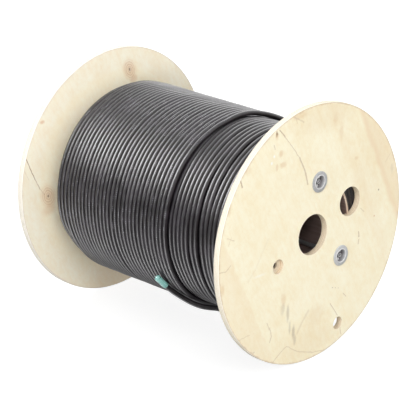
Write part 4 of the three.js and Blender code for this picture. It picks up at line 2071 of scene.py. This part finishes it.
@dataclass
class Studio:
    """Pale floor, white surround and soft lamps."""

    drum: DrumFrame
    floor_size: float = 60.0
    floor_shades: Pair = (0.3, 0.306)
    floor_glow: Fade = Fade(0.5, 3.0, 0.83, 1.0)
    surround: float = 0.33
    # Reflections show, by the X, Y and Z of their direction, a dark room beside the camera between
    # its floor and its ceiling, a lit backdrop behind the drum that is dim low down and at the top,
    # and a lit table top as a strip below.
    room_x: Fade = Fade(0.2, 0.6, 0.0, 1.0)
    room_y: Fade = Fade(0.1, 0.45, 1.0, 0.0)
    room_floor: Fade = Fade(-0.65, -0.35, 0.6, 0.02)
    room_ceiling: Fade = Fade(0.12, 0.45, 0.0, 1.6)
    front_level: float = 0.18
    backdrop_from_y: Pair = (-0.2, 0.2)
    backdrop_x: Fade = Fade(-0.3, 0.5, 4.3, 1.45)
    backdrop_foot: Fade = Fade(-0.62, -0.4, 0.13, 0.4)
    backdrop_rise: Fade = Fade(0.18, 0.42, 0.0, 0.6)
    backdrop_top: Fade = Fade(0.56, 0.76, 1.0, 0.24)
    table_plane: tuple[float, float, float] = (0.954, 0.061, -0.292)
    table_width: Fade = Fade(0.1, 0.4, 1.0, 0.0)
    table_y: Fade = Fade(-0.4, 0.1, 1.0, 0.0)
    table_z: Fade = Fade(-0.5, -0.1, 5.6, 0.6)
    lamps: tuple[Lamp, ...] = (
        Lamp("front_softbox", (-0.62, -0.5, 0.52), 2.2, 1.4, 1.3, 104.0, lights_matt=False),
        Lamp("top_softbox", (-0.4, 0.1, 0.92), 2.4, 2.2, 1.4, 14.0, lights_matt=False),
        Lamp("wood_fill", (0.62, -0.42, 0.66), 5.0, 3.2, 3.2, 126.0, shows_in_gloss=False),
        Lamp("low_fill", (0.38, -0.9, 0.2), 5.0, 3.0, 2.4, 164.0, shows_in_gloss=False),
        Lamp("front_fill", (0.95, -0.25, 0.1), 5.0, 2.0, 1.6, 22.0, shows_in_gloss=False),
        Lamp("right_fill", (0.5, 0.62, 0.6), 5.0, 2.4, 2.4, 40.0, shows_in_gloss=False),
        Lamp("top_fill", (-0.1, 0.1, 0.99), 5.0, 3.2, 3.2, 60.0, shows_in_gloss=False),
        Lamp("back_fill", (-0.75, 0.45, 0.5), 5.0, 3.2, 3.2, 130.0, shows_in_gloss=False),
    )

    def seen_directly(self, sheet: Sheet, rays: bpy.types.Node) -> Socket:
        """Return 1 for rays from the camera, and for reflected and transmitted ones."""
        mirrored = sheet.math("MAXIMUM", rays.outputs["Is Glossy Ray"], rays.outputs["Is Transmission Ray"])
        return sheet.math("MAXIMUM", rays.outputs["Is Camera Ray"], mirrored)

    def floor(self) -> Piece:
        """Make the floor, white where it is seen and a shade darker under the drum.

        Returns:
            The floor.
        """
        shape = bmesh.new()
        bmesh.ops.create_grid(shape, x_segments=2, y_segments=2, size=self.floor_size / 2)
        material, sheet, shader = new_material("pale_floor")
        place = sheet.place()
        darker, paler = ((shade, shade, shade) for shade in self.floor_shades)
        seen = self.seen_directly(sheet, sheet.add("ShaderNodeLightPath"))
        glow = sheet.times(seen, self.floor_glow.on(sheet, sheet.vector("LENGTH", place)))
        sheet.fill(shader, {"Base Color": sheet.mix(sheet.noise(place, scale=3.0), darker, paler),
                            "Roughness": 0.9, "Specular IOR Level": 0.0,
                            "Emission Color": (1.0, 1.0, 1.0), "Emission Strength": glow})
        floor = mesh_object("studio_floor", shape, [material])
        floor.visible_glossy = False
        return floor

    def world(self) -> None:
        """Light everything evenly, show white to the camera, and to reflections the room about it."""
        world = bpy.data.worlds.new("white_surround")
        world.use_nodes = True
        sheet = Sheet(world.node_tree)
        background = world.node_tree.nodes["Background"]
        background.inputs["Color"].default_value = (1.0, 1.0, 1.0, 1.0)
        direction = sheet.add("ShaderNodeTexCoord").outputs["Generated"]
        rays = sheet.add("ShaderNodeLightPath")
        mirrored = self.mirrored_room(sheet, direction)
        shown = sheet.remap(rays.outputs["Is Glossy Ray"], 0.0, 1.0, 1.0, mirrored, smooth=False)
        seen = self.seen_directly(sheet, rays)
        sheet.feed(background.inputs["Strength"],
                   sheet.remap(seen, 0.0, 1.0, self.surround, shown, smooth=False))
        bpy.context.scene.world = world

    def mirrored_room(self, sheet: Sheet, direction: Socket) -> Socket:
        """Return how bright the room is that reflections show in each direction.

        Args:
            sheet: The sheet.
            direction: The direction.

        Returns:
            The brightness.
        """
        x, y, z = sheet.apart(direction)
        off_table = sheet.math("ABSOLUTE", sheet.vector("DOT_PRODUCT", direction, self.table_plane))
        table = sheet.times(self.table_width.on(sheet, off_table), self.table_y.on(sheet, y))
        table = sheet.times(table, self.table_z.on(sheet, z))
        height = sheet.plus(self.backdrop_foot.on(sheet, z), self.backdrop_rise.on(sheet, z))
        height = sheet.times(height, self.backdrop_top.on(sheet, z))
        backdrop = sheet.times(self.backdrop_x.on(sheet, x), height)
        ahead = sheet.remap(y, *self.backdrop_from_y, self.front_level, backdrop)
        beside = sheet.times(self.room_x.on(sheet, x), self.room_y.on(sheet, y))
        room = sheet.plus(self.room_floor.on(sheet, z), self.room_ceiling.on(sheet, z))
        return sheet.plus(sheet.remap(beside, 0.0, 1.0, ahead, room, smooth=False), table)

    def build(self) -> None:
        """Make the floor, the lamps and the surround, and set how colours are shown."""
        self.floor()
        self.world()
        for lamp in self.lamps:
            lamp.build(self.drum.centre)
        bpy.context.scene.view_settings.view_transform = "Standard"


# ---------------- the drum's own finishes

LEAD_FACE = PlyFace(
    name="lead_face_veneer",
    pale=srgb(252, 246, 222),
    warm=srgb(242, 226, 187),
    stripes=(
        Stripe(144.0, 230.0, 5.0, 0.4), Stripe(142.0, 150.0, 4.0, 0.45), Stripe(-230.0, -133.0, 2.4, 0.24),
        Stripe(96.0, 114.0, 7.0, 0.14),
    ),
    cracks=(
        LineMark(((-66, 157), (-61, 152), (-56, 146)), 0.81, 0.56),
        LineMark(((-56, 146), (-44.7, 132.6), (-34.3, 120), (-28, 111.2)), 0.54, 0.36),
        LineMark(((-28, 111.2), (-21.6, 99.5), (-17.2, 91.1), (-14.1, 81.6), (-11.4, 72.1)), 1.1, 0.42),
        LineMark(((-71.5, 156), (-71, 150)), 1.2, 0.56),
        LineMark(((-76, 140), (-74, 134)), 0.68, 0.36),
        LineMark(((-137.4, 112.8), (-133.4, 99.1)), 1.1, 0.6),
        LineMark(((-42, 169), (-31, 163.5), (-21, 157)), 0.94, 0.22),
        LineMark(((-37, 168), (-33, 159)), 0.81, 0.19),
        LineMark(((-174, -3.1), (-161.9, -5), (-153, 1)), 0.68, 0.28),
        LineMark(((-160, 39), (-154, 36), (-147, 32)), 0.61, 0.24),
        LineMark(((-152, 38), (-157, 28)), 0.61, 0.15),
        LineMark(((-85.4, -97.8), (-81, -108)), 0.81, 0.26),
        LineMark(((-80, -106), (-77, -118.7), (-80, -126)), 0.81, 0.32),
        LineMark(((-79.1, -160), (-62, -148.8), (-47.4, -141.9)), 0.68, 0.28),
        LineMark(((-47.4, -141.9), (-32, -153), (-22, -158), (3, -167), (26, -171)), 0.68, 0.24),
        LineMark(((37.1, -107.9), (46.2, -120.1), (52, -129)), 0.68, 0.4),
        LineMark(((58.2, -149), (60.7, -159.3)), 0.68, 0.36),
        LineMark(((63.1, -100.2), (68.6, -106.5)), 0.68, 0.36),
        LineMark(((91.5, -21.4), (92.5, -28)), 0.94, 0.48),
        LineMark(((92.3, -32), (91, -38.5)), 0.81, 0.4),
        LineMark(((94.2, 11.6), (101.1, 5.1)), 0.81, 0.24),
        LineMark(((143, 64), (153, 74)), 0.68, 0.14),
        LineMark(((-138, -105), (-118, -104)), 0.68, 0.2),
        LineMark(((-85, 17), (-108, -17), (-121, -30)), 1.6, 0.06),
        LineMark(((-6, -104.7), (-19.6, -118.8), (-27.7, -130.4)), 1.8, 0.16),
    ),
    stains=(
        Blot((-62.7, 125.5), (6, 6), 0.42, 0.5), Blot((-59, 110), (9, 6), 0.36),
        Blot((-70, 109), (3.5, 7), 0.35), Blot((-71, 150), (4, 7), 0.4),
        Blot((-157, 75), (7, 12), 0.3), Blot((-122, 118), (9, 9), 0.2),
        Blot((-168, -27), (6, 12), 0.3), Blot((-55, -74), (7, 14), 0.28), Blot((8, -116), (26, 20), 0.2),
        Blot((20, 158), (90, 34), 0.16, 0.6), Blot((-10, -150), (80, 36), 0.16, 0.6),
        Blot((112, 60), (46, 110), 0.1, 0.6), Blot((52, 128), (6, 14), 0.22), Blot((40, 148), (6, 12), 0.2),
        Blot((-28, 168), (22, 8), 0.3), Blot((83, 84), (5, 4), 0.3), Blot((123, -7), (2.2, 1.8), 0.7, 0.3),
    ),
    dirt=(
        Blot((-56, -88), (6, 12), 0.2), Blot((-46, -96), (4, 16), 0.35), Blot((-42, -118), (3, 14), 0.3),
        Blot((-35, -126), (4, 14), 0.42), Blot((-32, -138), (4, 10), 0.34),
        Blot((130.5, 28), (1.8, 1.8), 0.9, 0.3), Blot((41, -86), (1.8, 1.2), 0.45),
        Blot((47, -88), (1.6, 1.2), 0.45), Blot((53, -90), (1.5, 1.2), 0.3),
        Blot((-110, -131), (3, 2), 0.25), Blot((-70.5, 153), (2.6, 3.0), 0.6),
        Blot((157, 52), (5, 10), 0.14),
    ),
    flecks=(
        Blot((-75.5, 124.9), (2.4, 2.8), 0.9, 0.4), Blot((-79.8, 116.8), (2.6, 3.2), 0.9, 0.4),
        Blot((-100, -28), (16, 2.6), 0.35, 0.5),
    ),
)

PLAIN_INNER_FACE = PlyFace(
    name="plain_inner_veneer",
    pale=srgb(253, 248, 229),
    warm=srgb(246, 230, 199),
    cracks=(
        LineMark(((-165, 54), (-157, 35), (-151, 22)), 0.6, 0.85),
        LineMark(((-151, 22), (-148, 16), (-142, 6)), 0.5, 0.6),
        LineMark(((-142, 6), (-140, 3), (-135, -4)), 0.45, 0.3),
        LineMark(((-170, 42), (-162, 23)), 0.4, 0.25),
    ),
    stains=(
        Blot((36, 124), (10, 9), 0.3), Blot((-128, -27), (18, 13), 0.3, 0.5), Blot((-135, 100), (6, 4), 0.5),
        # The wide, soft blot low on the face is painted shade: a browner tint where the winding shades the
        # wood.
        Blot((-10, -160), (62, 52), 0.2, 0.7),
    ),
    dirt=(Blot((-169, -60), (1.8, 2.4), 0.8, 0.3), Blot((-145, 99), (1.5, 1.5), 0.5)),
    knots=(Knot((28, 139), (8.0, 11.5)), Knot((-128, -8), (9.0, 12.0))),
    stain_colour=srgb(214, 160, 100),
    grain_strength=1.1,
    worn=0.12,
    # Paints a warm glow round the cable in place of bounced light.
    painted_glow=0.2,
)

PLAIN_FACE = PlyFace(
    name="plain_face_veneer",
    pale=srgb(250, 244, 222),
    warm=srgb(238, 220, 184),
    cracks=(
        LineMark(((62, 128), (70, 96), (74, 61)), 0.35, 0.5),
        LineMark(((-96, -72), (-82, -104), (-79, -131)), 0.4, 0.55),
        LineMark(((20, -150), (34, -163)), 0.35, 0.5),
    ),
    stains=(
        Blot((90, 60), (16, 50), 0.25, 0.5), Blot((-60, 118), (12, 8), 0.35),
        Blot((40, -120), (40, 18), 0.25),
    ),
    dirt=(Blot((-118, 30), (2, 3), 0.6, 0.3), Blot((70, -92), (6, 14), 0.3)),
    knots=(Knot((-84, -36), (6.5, 9.0)),),
)

LEAD_INNER_FACE = PlyFace(
    name="lead_inner_veneer",
    pale=srgb(248, 241, 222),
    warm=srgb(236, 218, 184),
    cracks=(LineMark(((110, 90), (124, 52)), 0.35, 0.5),),
    stains=(Blot((-118, -96), (14, 30), 0.3, 0.5),),
    knots=(Knot((96, -104), (6.0, 8.5)),),
    grain_strength=1.0,
)

RIM_PLY = PlyEdge(name="rim_ply", pale=srgb(247, 242, 229), dark=srgb(230, 215, 186))
PLAIN_RIM_PLY = PlyEdge(name="plain_rim_ply", pale=srgb(250, 247, 238), dark=srgb(240, 230, 210))
# Painted shade: the holes' walls are a darker copy of the ply edge, for the shade that falls inside the
# holes.
SHADED_HOLE_PLY = PlyEdge(name="shaded_hole_ply", pale=srgb(230, 217, 193), dark=srgb(196, 174, 144))
BARREL_PLY = BarrelPly(name="barrel_ply", base=srgb(150, 128, 120), dark=srgb(124, 104, 98))
# Painted light: the barrel's ends are a paler copy of its ply, for the light that falls on the end showing in
# the lead-out hole while the wall lies in shade.
LIT_BARREL_END_PLY = BarrelPly(name="lit_barrel_end_ply", base=srgb(224, 206, 188), dark=srgb(196, 172, 148))

# The lead-out hole and the small tie-down hole.
CABLE_HOLES = (
    Hole(77.0 * MM, 20.4, 20.0 * MM),
    Hole(150.0 * MM, -69.3, 8.8 * MM),
)
LUG_TURN = {Side.LEAD: 72.0, Side.PLAIN: 12.0}
BRIM_WEAR = {1: 0.06, 2: -0.35}


def main() -> None:
    """Build the pieces in order: camera and cord first, then wood, hardware, winding and studio."""
    logging.basicConfig(level=logging.INFO, format="%(name)s %(message)s")
    drum = DrumFrame.measured()
    StudioCamera().build(drum.centre)
    cable = Cable()
    loose_end = LooseEnd(cable, drum, CableJacket("loose_jacket", dusty=srgb(52, 50, 53)))
    loose_end.build(EndCap(CapPlastic("cap_plastic")))
    groups = Groups()
    Flange(drum, Side.LEAD, LEAD_FACE, LEAD_INNER_FACE, RIM_PLY, SHADED_HOLE_PLY,
           cable_holes=CABLE_HOLES).build(groups)
    Flange(drum, Side.PLAIN, PLAIN_FACE, PLAIN_INNER_FACE, PLAIN_RIM_PLY, SHADED_HOLE_PLY).build(groups)
    Barrel(drum, BARREL_PLY, LIT_BARREL_END_PLY).build()
    zinc = ZincSteel("zinc_steel").build()
    for number, brim_wear in BRIM_WEAR.items():
        TieRod(f"tie_rod_{number}").build(zinc)
        for side, turn in LUG_TURN.items():
            CupNut(f"cup_nut_{number}_{side.name.lower()}_side", side, turn, brim_wear).build(zinc)
    jackets = CableJacket("open_jacket"), CableJacket("printed_jacket", has_ticks=True)
    Winding(cable, drum, *jackets).build(loose_end)
    Studio(drum).build()
    bpy.context.view_layer.update()


if __name__ == "__main__":
    main()
